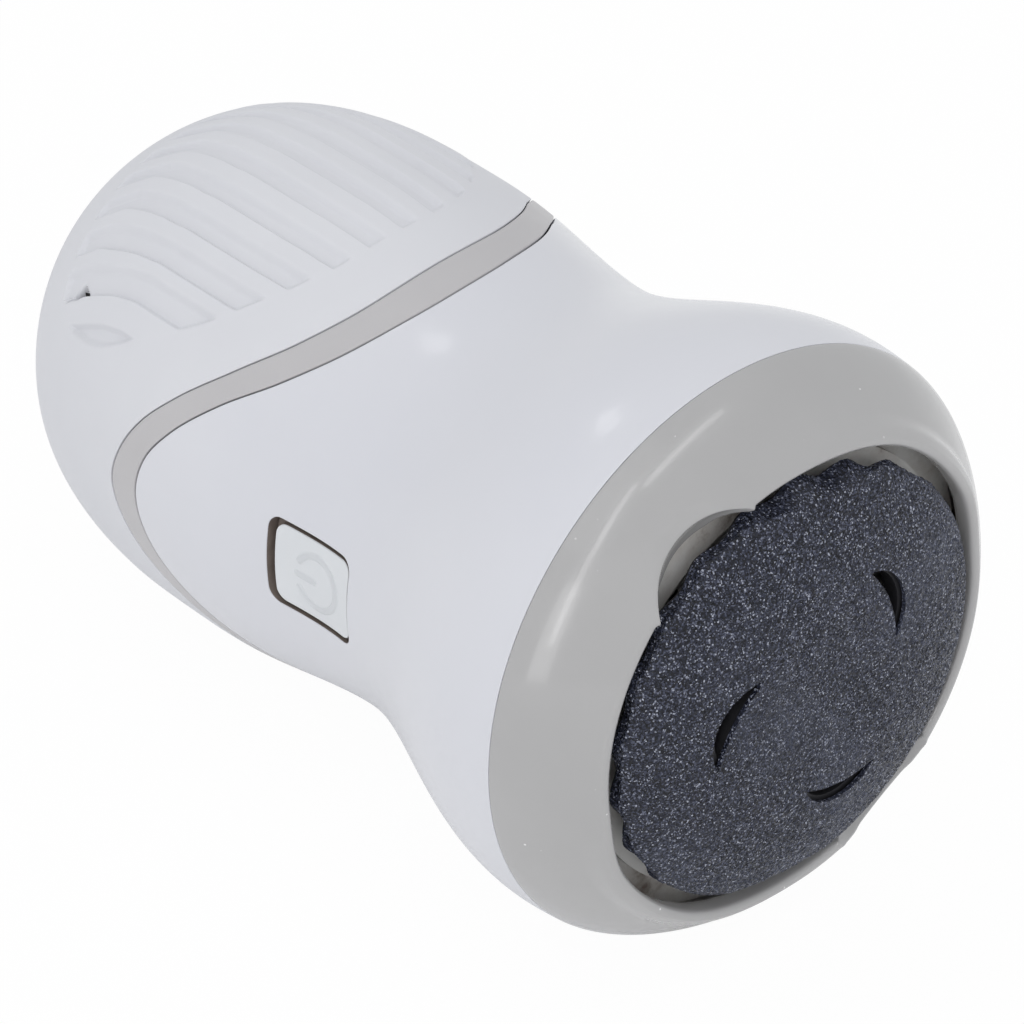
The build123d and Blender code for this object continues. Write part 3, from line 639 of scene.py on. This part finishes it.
def make_cover():
    pool = Pool()
    cols = pad_columns()
    deg0, own = [], []
    for d in cols:
        deg0.append(80.0 + d); own.append((1, d))
    for f in np.arange(157.0, 187.0, 1.0):
        deg0.append(f); own.append((0, 0.0))
    for d in cols[::-1]:
        deg0.append(263.0 - d); own.append((2, d))
    deg0 = np.array(deg0); grip = np.array([o[0] for o in own]); dcol = np.array([o[1] for o in own])
    sF = s_of_x(seam_x(TRIM_REAR, deg0)) + GAP_R / 2
    s_last = S_END - 0.35
    n = 360
    t = np.linspace(0, 1, n)
    a = sF + EDGE_R
    lat = a[None] + (s_last - a)[None] * t[:, None]
    xs = np.interp(lat, SS, XX)
    dd = np.broadcast_to(dcol, xs.shape)
    w = pad_warp(xs, dd) * smooth01(t / 0.03)[:, None]
    D = np.zeros_like(lat); vent_shade_mask = np.zeros(lat.shape, bool)
    DEG = np.broadcast_to(deg0, xs.shape).copy()
    for g, sgn in ((1, 1.0), (2, -1.0)):
        m = grip == g
        DEG[:, m] += sgn * w[:, m]
        D[:, m], vent_shade_mask[:, m] = pad_field(xs[:, m], dd[:, m], dd[:, m] + w[:, m])
    ph = np.radians(DEG)
    pts = on_body(lat, ph, D)
    io = pool.add(pts)
    q = grid(io, wrap_j=True).reshape(n - 1, len(deg0), 4)
    sl = vent_shade_mask[:-1] & vent_shade_mask[1:]
    # the vent's floor faces take the dark vent colour: painted shade
    pool.quads(q[~sl]); pool.quads(q[sl], 1)
    tip = pool.add(np.array([[-123.5, 0, 0]]))
    last = io[-1]
    pool.tris(np.stack([last, np.roll(last, -1), np.full(len(last), tip[0])], -1))
    fr = edge_rows(+1, sF, EDGE_R, WALL)
    fi = add_rows(pool, fr[:-1], ph[0])
    pool.quads(grid(np.vstack([fi, io[:1]]), wrap_j=True))
    rows = []
    for k in range(1, 30):
        v = k / 29.0
        rows.append((sF * (1 - v) + s_last * v, 2.5))
    ii = add_rows(pool, rows, ph[0])
    pool.quads(grid(np.vstack([fi[:1], ii]), wrap_j=True))
    tip2 = pool.add(np.array([[-121.0, 0, 0]]))
    last = ii[-1]
    pool.tris(np.stack([last, np.roll(last, -1), np.full(len(last), tip2[0])], -1))
    return pool.make("cover_shell", [m_cover.m, m_vent_shade.m])


cover = make_cover()
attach(cover, "housing"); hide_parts("rear_cover")

# ------------------------------------------------------------------ front ring with thumb scoops
NR_, NX_, NO_ = 9.0, 0.7, 24.35


def ring_path():
    """Front and outer rows (kind 0), then hidden inner rows (kind 1), as (x, r)."""
    front = [(-6.45, 27.0), (-6.2, 27.0), (-5.9, 27.0), (-5.5, 27.0), (-5.2, 27.0)]
    for k in range(0, 15):
        a = math.radians(-80 + (55 + 80) * k / 14.0)
        # angle measured from +x towards +r
        front.append((LIPX + 0.75 * math.cos(a), 27.75 + 0.75 * math.sin(a)))
    t = np.linspace(0, 1, 46)[:, None]
    b0, b1, b2, b3 = (np.array(p) for p in ((-5.0, 28.95), (-8.02, 32.42), (-11.5, 35.12), (-13.72, 35.63)))
    o = (1 - t) ** 3 * b0 + 3 * (1 - t) ** 2 * t * b1 + 3 * (1 - t) * t * t * b2 + t ** 3 * b3
    front += [(-4.64, 28.51), (-4.80, 28.70)]
    front += [tuple(p) for p in o]
    front += [(-13.765, 35.615), (-13.79, 35.585), (-13.8, 35.53)]
    back = [(-13.8, 34.4), (-13.8, 33.4), (-13.8, 32.6), (-13.9, 32.55)]
    back += [(x, 32.55) for x in (-14.6, -15.28)] + [(-15.3, 32.5), (-15.3, 31.8), (-15.35, 31.75), (-16.85, 31.75), (-16.9, 31.8), (-16.9, 32.5), (-16.92, 32.55)]
    back += [(-17.6, 32.55), (-18.3, 32.55), (-18.46, 32.5), (-18.5, 32.35), (-18.5, 31.0), (-18.46, 30.85), (-18.3, 30.8)]
    back += [(x, 30.8) for x in (-17.0, -15.5, -14.0, -12.5, -11.2)]
    back += [(-10.4, 30.78), (-9.9, 30.72), (-9.2, 30.3), (-8.6, 29.95), (-8.0, 29.55), (-7.6, 29.25), (-7.35, 28.7), (-7.15, 28.2), (-6.95, 27.7), (-6.8, 27.3), (-6.7, 27.08)]
    return np.array(front), np.array(back)


LIPX = -4.95


def smax(d, r, k):
    return 0.5 * (d + r + np.sqrt((d - r) ** 2 + k * k))


def make_ring():
    pool = Pool()
    deg = []
    a = 0.0
    while a < 360.0 - 1e-6:
        near = min(abs((a - c + 180) % 360 - 180) for c in (125.5, 305.5))
        deg.append(a)
        a += 0.25 if near < 21 else 0.5
    deg = np.array(deg)
    th = np.radians(deg)
    F, B = ring_path()
    X = np.concatenate([F[:, 0], B[:, 0]])[:, None] * np.ones(len(deg))
    R = np.concatenate([F[:, 1], B[:, 1]])[:, None] * np.ones(len(deg))
    kind = np.r_[np.zeros(len(F)), np.ones(len(B))][:, None] * np.ones(len(deg))
    nf = len(F)
    tm = np.mod(deg, 180.0)
    wide = 0.95 * smooth01((tm - 10.0) / 22.0) * smooth01((96.0 - tm) / 38.0)
    R = R + wide[None] * smooth01((31.0 - R) / 2.5) * np.where(X > -11.0, 1.0, 0.0)
    for c0 in (125.5, 305.5):
        dl = np.radians((deg - c0 + 180) % 360 - 180)
        cr = NO_ * np.cos(dl)
        for kd, rad, rows in ((0, NR_, slice(0, nf)), (1, NR_ + 1.3, slice(nf, None))):
            rho2 = rad ** 2 - (NO_ * np.sin(dl)) ** 2
            rho = np.sqrt(np.maximum(rho2, 1e-6)) * np.where(rho2 > 0, 1, 0)
            x, r = X[rows], R[rows]
            vx, vr = x - NX_, r - cr
            d = np.hypot(vx, vr)
            al = np.arctan2(vr, -vx)                 # 0 points rearwards, grows outwards
            ok = (np.abs(dl) < math.radians(30)) & (rho2 > 4.0)
            # the floor starts at r 26.75, close to the disc's edge
            edge = 0 if kd == 0 else len(B) - 1
            aA = al[edge]; dA = d[edge]
            sin0 = np.clip((26.75 - cr) / np.maximum(rho, 1e-3), -1, 1)
            a0 = np.arcsin(sin0)
            a1 = np.full_like(aA, 0.95)
            wA = smooth01((rho - dA) / 0.8)
            al2 = np.where(al < a1, a1 - (a1 - al) * (a1 - a0) / np.maximum(a1 - aA, 1e-3), al)
            wA = wA * smooth01((rho + 1.8 - d) / 1.5)
            al2 = al * (1 - wA) + al2 * wA
            al2 = np.where(ok, al2, al)
            k = 0.34 if kd == 0 else 0.5
            d2 = smax(d, rho, k) - 0.5 * (np.sqrt((d - rho) ** 2 + k * k) - np.abs(d - rho)) * smooth01((d - rho - 0.3) / 1.9)
            d2 = np.where(ok, d2, d)
            if kd == 0:   # soft raised bead round the scoop
                bead = 0.34 * np.exp(-((d - rho - 0.62) / 0.42) ** 2)
                d2 = np.where(ok, d2 - bead, d2)
            X[rows] = NX_ - d2 * np.cos(al2)
            R[rows] = cr + d2 * np.sin(al2)
    pts = np.stack([X, R * np.cos(th), R * np.sin(th)], -1)
    idx = pool.add(pts)
    full = np.vstack([idx, idx[:1]])
    q = grid(full, wrap_j=True).reshape(len(full) - 1, len(deg), 4)
    pool.quads(q[:nf - 1]); pool.quads(q[nf - 1:], 1)
    return pool.make("ring_bezel", [m_ring.m, m_ring_in.m])


ring = make_ring()
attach(ring, "ring"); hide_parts("front_ring")

# ------------------------------------------------------------------ abrasive disc
LOBES, LOBE_DEPTH = 22, 1.15
_d1 = np.array([(0.0, 0.0), (0.0, 9.0)])
_d2 = spline([(0.0, 9.0), (-0.86, 17.0), (-2.3, 22.2), (-3.45, 25.0)], (0, 1), (-0.48, 0.88), 400)
_d3 = spline([(-3.45, 25.0), (-4.05, 25.7), (-4.8, 26.0)], (-0.48, 0.88), (-1.0, 0.0), 60)
_d4 = np.array([(-4.8, 26.0), (-5.95, 26.0)])
DOME = np.vstack([_d1, _d2[1:], _d3[1:], _d4[1:]])
DL = np.r_[0, np.cumsum(np.hypot(*np.diff(DOME, axis=0).T))]
_dt = np.gradient(DOME, DL, axis=0); _dt /= np.linalg.norm(_dt, axis=1)[:, None]
DMAX = DL[-1]
SLOT_ANGLES = ((44.5, 0.35), (169.5, 0.8), (286.5, 0.75))


def dome_at(rho, th, off=0.0):
    """Point of the disc's surface from its unrolled radius; off moves it inwards along the normal."""
    x = np.interp(rho, DL, DOME[:, 0]); r = np.interp(rho, DL, DOME[:, 1])
    tx = np.interp(rho, DL, _dt[:, 0]); tr = np.interp(rho, DL, _dt[:, 1])
    nx, nr = -tr, tx                      # into the disc
    w = smooth01((-4.1 - x) / 1.1)
    cut = LOBE_DEPTH * (0.5 - 0.5 * np.cos(LOBES * (th - np.radians(60.0)))) * w
    x = x + nx * (off + cut * 0.35 * np.abs(nx)); r = r + nr * off - cut
    return np.stack([x, r * np.cos(th), r * np.sin(th)], -1)


def crescent_loop(a, dr, step=0.26):
    p0, p1 = pol(10.7 + dr, a - 25.0)[1:], pol(14.5 + dr, a + 22.0)[1:]
    mid = (p0 + p1) / 2; ch = p1 - p0; L = np.linalg.norm(ch); ch = ch / L
    out = np.array([-ch[1], ch[0]])
    if out @ mid < 0:
        out = -out

    def arc(sag, n):
        R = (L * L / 4 + sag * sag) / (2 * sag)
        h = math.asin(L / 2 / R)
        t = np.linspace(-h, h, n)
        return mid + np.outer(R * np.sin(t), ch) + np.outer(R * np.cos(t) - R + sag, out)
    n = int(L * 1.3 / step)
    A = arc(3.3, n); B = arc(1.0, n)[::-1]
    poly = np.vstack([A, B[1:-1]])
    # round the two points
    for _ in range(5):
        poly = 0.25 * np.roll(poly, 1, 0) + 0.5 * poly + 0.25 * np.roll(poly, -1, 0)
    return poly


def inside_poly(p, poly):
    ins = np.zeros(len(p), bool)
    for k in range(len(poly)):
        ax, ay = poly[k - 1]; bx, by = poly[k]
        if abs(ay - by) < 1e-12:
            continue
        ins ^= ((ay > p[:, 1]) != (by > p[:, 1])) & (p[:, 0] < (bx - ax) * (p[:, 1] - ay) / (by - ay) + ax)
    return ins


def unroll(p):
    r = np.hypot(p[:, 0], p[:, 1])
    rho = np.interp(r, DOME[:, 1][: 2 + 399 + 40], DL[: 2 + 399 + 40])
    return p / r[:, None] * rho[:, None]


def triangulate(loops, interior):
    """Triangles over a disc with holes; loops[0] is the outside."""
    pts, edges = [], []
    n = 0
    for lp in loops:
        pts.append(lp); k = len(lp)
        edges += [(n + i, n + (i + 1) % k) for i in range(k)]
        n += k
    pts.append(interior)
    P = np.vstack(pts)
    vs, es, fs, ov, oe, of_ = delaunay_2d_cdt([Vector(p) for p in P], edges, [], 0, 1e-7)
    V = np.array([(v[0], v[1]) for v in vs]); F = np.array([f for f in fs if len(f) == 3])
    src = np.array([o[0] if o else -1 for o in ov])
    c = V[F].mean(1)
    keep = np.ones(len(F), bool)
    for lp in loops[1:]:
        lo, hi = lp.min(0) - 1, lp.max(0) + 1
        near = np.all((c > lo) & (c < hi), axis=1)
        keep[np.where(near)[0][inside_poly(c[near], lp)]] = False
    keep &= inside_poly(c, loops[0])
    return V, F[keep], src


def make_disc():
    loops = []
    m = 720
    th = np.linspace(0, 2 * np.pi, m, endpoint=False)
    outer = np.stack([DMAX * np.cos(th), DMAX * np.sin(th)], -1)
    loops.append(outer)
    for a, dr in SLOT_ANGLES:
        loops.append(unroll(crescent_loop(a, dr)))
    counts = [len(l) for l in loops]
    nb = sum(counts)

    def interior(pitch, jitter):
        g = np.arange(-DMAX, DMAX, pitch)
        gx, gy = np.meshgrid(g, g * 0.8660254)
        gx = gx + (np.arange(len(g)) % 2)[:, None] * pitch / 2
        p = np.stack([gx.ravel(), gy.ravel() / 1.0], -1)
        p = p + rng.uniform(-jitter, jitter, p.shape) * pitch
        r = np.hypot(p[:, 0], p[:, 1])
        p = p[r < DMAX - 0.5 * pitch]
        ok = np.ones(len(p), bool)
        for lp in loops[1:]:
            lo, hi = lp.min(0) - 1, lp.max(0) + 1
            near = np.where(np.all((p > lo) & (p < hi), axis=1))[0]
            bad = inside_poly(p[near], lp)
            dmin = np.min(np.hypot(p[near, None, 0] - lp[None, :, 0], p[near, None, 1] - lp[None, :, 1]), axis=1)
            ok[near[bad | (dmin < 0.35 * min(pitch, 0.35))]] = False
        return p[ok]

    pool = Pool()
    fine = interior(0.235, 0.33)
    V, F, src = triangulate(loops, fine)
    rho = np.hypot(V[:, 0], V[:, 1]); t = np.arctan2(V[:, 1], V[:, 0])
    # grains: each point sits at its own depth, a few stand high
    h = rng.beta(1.6, 1.3, len(V)) * 0.17
    low = 0.05 * np.sin(t * 9 + rho * 0.9) * 0.2
    h = np.clip(h + low + 0.01, 0.004, None)
    h *= 1 - 0.55 * smooth01((rho - DMAX + 0.9) / 0.9)
    top = dome_at(rho, t, h)
    top[:, 0] = np.minimum(top[:, 0], -0.003)
    it = pool.add(top)
    pool.tris(it[F])
    Vc, Fc, srcc = triangulate(loops, interior(1.3, 0.1))
    rc = np.hypot(Vc[:, 0], Vc[:, 1]); tc = np.arctan2(Vc[:, 1], Vc[:, 0])
    under = dome_at(np.minimum(rc, DMAX - 0.0), tc, 0.62)
    # slots go right through: their walls run straight back
    back = np.where((srcc >= counts[0]) & (srcc < nb))[0]
    y, z = dome_at(rc[back], tc[back], 0.0)[:, 1:].T
    under[back, 1], under[back, 2] = y, z
    under[back, 0] = dome_at(rc[back], tc[back], 0.0)[:, 0] - 0.62
    iu = pool.add(under)
    pool.tris(iu[Fc])
    lut_t = np.full(nb, -1); lut_u = np.full(nb, -1)
    for k, s_ in enumerate(src):
        if 0 <= s_ < nb:
            lut_t[s_] = it[k]
    for k, s_ in enumerate(srcc):
        if 0 <= s_ < nb:
            lut_u[s_] = iu[k]
    n = 0
    for c in counts:
        a, b = lut_t[n:n + c], lut_u[n:n + c]
        pool.quads(grid(np.vstack([a, b]), wrap_j=True))
        n += c
    ob = pool.make("grit_disc", [m_grit.m], smooth=False)
    return ob


disc = make_disc()
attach(disc, "disc"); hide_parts("abrasive_disc")


def make_carrier():
    """The carrier under the grit: its rim drawn in a little so that the grit wraps it."""
    src = NODES["disc_carrier"].data
    me = src.copy(); me.name = "disc_carrier_body"
    co = np.zeros(len(me.vertices) * 3, np.float32); me.vertices.foreach_get("co", co)
    co = co.reshape(-1, 3) / S
    r = np.hypot(co[:, 1], co[:, 2]); t = np.arctan2(co[:, 2], co[:, 1])
    cut = LOBE_DEPTH * (0.5 - 0.5 * np.cos(LOBES * (t - np.radians(60.0))))
    rr = np.where(r > 22.0, np.minimum(r, 26.0 - 0.7 - cut), r)
    rr = np.where((r > 21.0) & (rr > 21.0) & (co[:, 0] > -5.2), rr - 0.25 * smooth01((r - 21.0) / 3.0), rr)
    x = np.where(co[:, 0] > -5.6, co[:, 0] - 0.12, co[:, 0])
    co = np.stack([x, rr * np.cos(t), rr * np.sin(t)], -1) * S
    me.vertices.foreach_set("co", co.astype(np.float32).ravel())
    me.materials.clear(); me.materials.append(m_dark.m)
    me.update()
    ob = bpy.data.objects.new("disc_carrier_body", me)
    bpy.context.scene.collection.objects.link(ob)
    return ob


carrier = make_carrier()
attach(carrier, "disc"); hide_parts("disc_carrier")


# ------------------------------------------------------------------ power button
def make_button():
    pool = Pool()
    cx, cz = -52.3, -0.3; a, b, rc = 6.05, 5.1, 1.45
    hx, hz, ha, hb, hr = -52.65, -0.25, 6.6, 5.55, 1.6
    m = 260
    ang = np.linspace(0, 2 * np.pi, m, endpoint=False)
    rho = 0.13
    rim = ray_rect(ang, a - rho, b - rho, rc - rho)
    # even spacing along the edge
    g = np.arange(-6.2, 6.2, 0.1)
    gx, gz = np.meshgrid(g, g)
    p = np.stack([gx.ravel(), gz.ravel()], -1)
    p = p[round_rect_sdf(p[:, 0], p[:, 1], a - rho, b - rho, rc - rho) < -0.06]
    V, F, src = triangulate([rim], p)
    sx = V[:, 0] + cx + 51.7; sz = V[:, 1]
    rr = np.hypot(sx, sz)
    ringd = np.abs(rr - 3.3) - 0.36
    # open part of the circle faces the rear (-X)
    aperture = np.abs(np.arctan2(sz, -sx))
    ap = 0.56
    endcap = np.hypot(sx + 3.3 * math.cos(ap), np.abs(sz) - 3.3 * math.sin(ap)) - 0.36
    ringd = np.where(aperture < ap, endcap, ringd)
    bar = np.hypot(sx - np.clip(sx, -3.1, -0.5), sz) - 0.36
    sd = np.minimum(ringd, bar)
    emb = 0.13 * smooth01((0.09 - sd) / 0.18)
    x = V[:, 0] + cx
    z = V[:, 1] + cz
    top = np.stack([x, -(np.sqrt(r_of_x(x) ** 2 - z ** 2) - 0.22 + emb), z], -1)
    it = pool.add(top)
    mark = sd[F].max(1) < 0.06
    pool.tris(it[F[~mark]]); pool.tris(it[F[mark]], 2)
    lut = np.full(m, -1)
    for k, s_ in enumerate(src):
        if 0 <= s_ < m:
            lut[s_] = it[k]

    def loop(ca, za, aa, bb, rr_, depth):
        q = ray_rect(ang, aa, bb, rr_) + [ca, za]
        return np.stack([q[:, 0], -(np.sqrt(r_of_x(q[:, 0]) ** 2 - q[:, 1] ** 2) - depth), q[:, 1]], -1)
    rows = []
    for k in range(1, 5):
        t = math.radians(90.0 * k / 4)
        d = rho * math.sin(t)
        rows.append(loop(cx, cz, a - rho + d, b - rho + d, rc - rho + d, 0.22 + rho * (1 - math.cos(t))))
    n_white = len(rows)
    for dep in (0.8, 1.25):
        rows.append(loop(cx, cz, a, b, rc, dep))
    # shelf round the cap, just inside the opening, in the gap colour: dust with painted shade
    for w in (0.35, 0.75, 1.0):
        rows.append(loop(cx * (1 - w) + hx * w, cz * (1 - w) + hz * w, a * (1 - w) + ha * w, b * (1 - w) + hb * w, rc * (1 - w) + hr * w, 1.32))
    for dep in (1.6, 2.3, 3.0):
        rows.append(loop(hx, hz, ha, hb, hr, dep))
    idx = pool.add(np.array(rows))
    full = np.vstack([lut[None], idx])
    q = grid(full, wrap_j=True).reshape(len(full) - 1, m, 4)
    # from the fillet down, the cap's side, the shelf and the well take the gap colour: dust with painted shade
    pool.quads(q[:n_white]); pool.quads(q[n_white:], 1)
    # underside
    g2 = np.arange(-6, 6, 1.2)
    gx, gz = np.meshgrid(g2, g2)
    p2 = np.stack([gx.ravel(), gz.ravel()], -1)
    base = ray_rect(ang, ha, hb, hr)
    p2 = p2[round_rect_sdf(p2[:, 0], p2[:, 1], ha, hb, hr) < -0.3]
    V2, F2, src2 = triangulate([base], p2)
    x2, z2 = V2[:, 0] + hx, V2[:, 1] + hz
    bot = np.stack([x2, -(np.sqrt(r_of_x(x2) ** 2 - z2 ** 2) - 3.0), z2], -1)
    ib = pool.add(bot)
    lut2 = np.full(m, -1)
    for k, s_ in enumerate(src2):
        if 0 <= s_ < m:
            lut2[s_] = ib[k]
    remap = np.arange(pool.n)
    remap[lut2] = idx[-1]
    pool.tris(remap[ib[F2]], 1)
    ob = pool.make("button_cap", [m_button.m, m_gap_dust_shade.m, m_symbol.m])
    bm = bmesh.new(); bm.from_mesh(ob.data)
    loose = [v for v in bm.verts if not v.link_faces]
    bmesh.ops.delete(bm, geom=loose, context="VERTS")
    bm.to_mesh(ob.data); bm.free()
    return ob


button = make_button()
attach(button, "button"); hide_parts("power_button")

# smooth shading on the carried-over CAD pieces, with their sharp edges kept
for name, o in NODES.items():
    if o.hide_render:
        continue
    o.data.shade_smooth()
    o.data.set_sharp_from_angle(angle=math.radians(32))
carrier.data.shade_smooth(); carrier.data.set_sharp_from_angle(angle=math.radians(32))

# ------------------------------------------------------------------ camera, floor, light
scene = bpy.context.scene
cam_d = bpy.data.cameras.new("cam"); cam = bpy.data.objects.new("cam", cam_d)
scene.collection.objects.link(cam); scene.camera = cam
cam_d.sensor_width = 36.0; cam_d.lens = 147.66
right = Vector((0.65720726, 0.75306046, 0.03128189)); up = Vector((-0.42266636, 0.33386821, 0.84254683)); fwd = Vector((-0.62404468, 0.5669497, -0.53771394))
M = Matrix((right, up, -fwd)).transposed().to_4x4()
M.translation = Vector((0.24914, -0.27257, 0.25697))
cam.matrix_world = M
cam_d.clip_start = 0.01; cam_d.clip_end = 20.0

fm = bpy.data.materials.new("floor_pale"); fm.use_nodes = True
fnt = fm.node_tree
fb = fnt.nodes["Principled BSDF"]
fb.inputs["Base Color"].default_value = (0.80, 0.80, 0.80, 1); fb.inputs["Roughness"].default_value = 0.9
fb.inputs["Emission Color"].default_value = (1, 1, 1, 1); fb.inputs["Emission Strength"].default_value = 0.15
fb.inputs["Specular IOR Level"].default_value = 0.0
fe = fnt.nodes.new("ShaderNodeEmission"); fe.inputs["Color"].default_value = (1, 1, 1, 1); fe.inputs["Strength"].default_value = 1.0
fp = fnt.nodes.new("ShaderNodeLightPath"); fx = fnt.nodes.new("ShaderNodeMixShader"); fs = fnt.nodes.new("ShaderNodeMath"); fs.operation = "MULTIPLY"
fs.inputs[1].default_value = 0.96
fnt.links.new(fp.outputs["Is Camera Ray"], fs.inputs[0]); fnt.links.new(fs.outputs[0], fx.inputs[0])
fnt.links.new(fb.outputs[0], fx.inputs[1]); fnt.links.new(fe.outputs[0], fx.inputs[2])
fnt.links.new(fx.outputs[0], fnt.nodes["Material Output"].inputs["Surface"])
# the device lies on its rim and its bulb, so the surface leans with them
za, zb = -36.0, -31.35
xa, xb = -17.7, -86.0
slope = (zb - za) / (xb - xa)
fme = bpy.data.meshes.new("floor")
E = 6000.0
fme.from_pydata([(x * S, y * S, (za - 0.03 + slope * (x - xa)) * S) for x, y in ((-E, -E), (E, -E), (E, E), (-E, E))], [], [(0, 1, 2, 3)])
fme.materials.append(fm)
floor = bpy.data.objects.new("floor", fme); scene.collection.objects.link(floor)

world = bpy.data.worlds.new("studio"); scene.world = world; world.use_nodes = True
world.node_tree.nodes["Background"].inputs[0].default_value = (0.98, 0.99, 1.0, 1)
world.node_tree.nodes["Background"].inputs[1].default_value = 0.78


def area(name, loc, target, sx, sy, power, roll=0.0, colour=(1, 1, 1)):
    d = bpy.data.lights.new(name, "AREA"); d.shape = "RECTANGLE"; d.size, d.size_y = sx, sy
    d.energy = power; d.color = colour
    o = bpy.data.objects.new(name, d); scene.collection.objects.link(o)
    o.location = loc
    q = (Vector(target) - Vector(loc)).to_track_quat("-Z", "Y")
    o.rotation_mode = "QUATERNION"
    o.rotation_quaternion = q @ Matrix.Rotation(roll, 3, "Z").to_quaternion()
    return o


CEN = Vector((-0.05, 0, 0))
area("key", (0.0, -0.7, 1.3), CEN, 1.2, 1.2, 1.9)
area("front", (1.3, -0.5, 0.5), CEN, 0.9, 0.9, 0.3)


def strip(name, d1, d2, width, radiance, dist=1.0):
    """A long thin light between two directions as seen from the ring."""
    a, b = Vector(d1) * dist, Vector(d2) * dist
    o0 = Vector((-0.01, -0.018, 0.027))
    mid = (a + b) / 2 + o0
    L = (b - a).length
    o = area(name, mid, o0, L, width, radiance * math.pi * L * width)
    z = (mid - o0).normalized()
    x = (b - a).normalized(); x = (x - z * x.dot(z)).normalized()
    y = z.cross(x)
    o.rotation_quaternion = Matrix((x, y, z)).transposed().to_quaternion()
    return o


strip("strip_top", (0.305, 0.315, 0.899), (0.472, -0.272, 0.839), 0.055, 4.0)
strip("strip_side", (0.381, -0.315, 0.870), (0.486, -0.867, 0.110), 0.055, 4.0)
strip("side_soft", (0.50, -0.80, 0.45), (0.40, -0.90, -0.15), 0.22, 1.7)
strip("rear_small", (-0.70, 0.02, 0.71), (-0.60, -0.12, 0.79), 0.12, 2.4)

scene.view_settings.view_transform = "Standard"
scene.view_settings.look = "None"
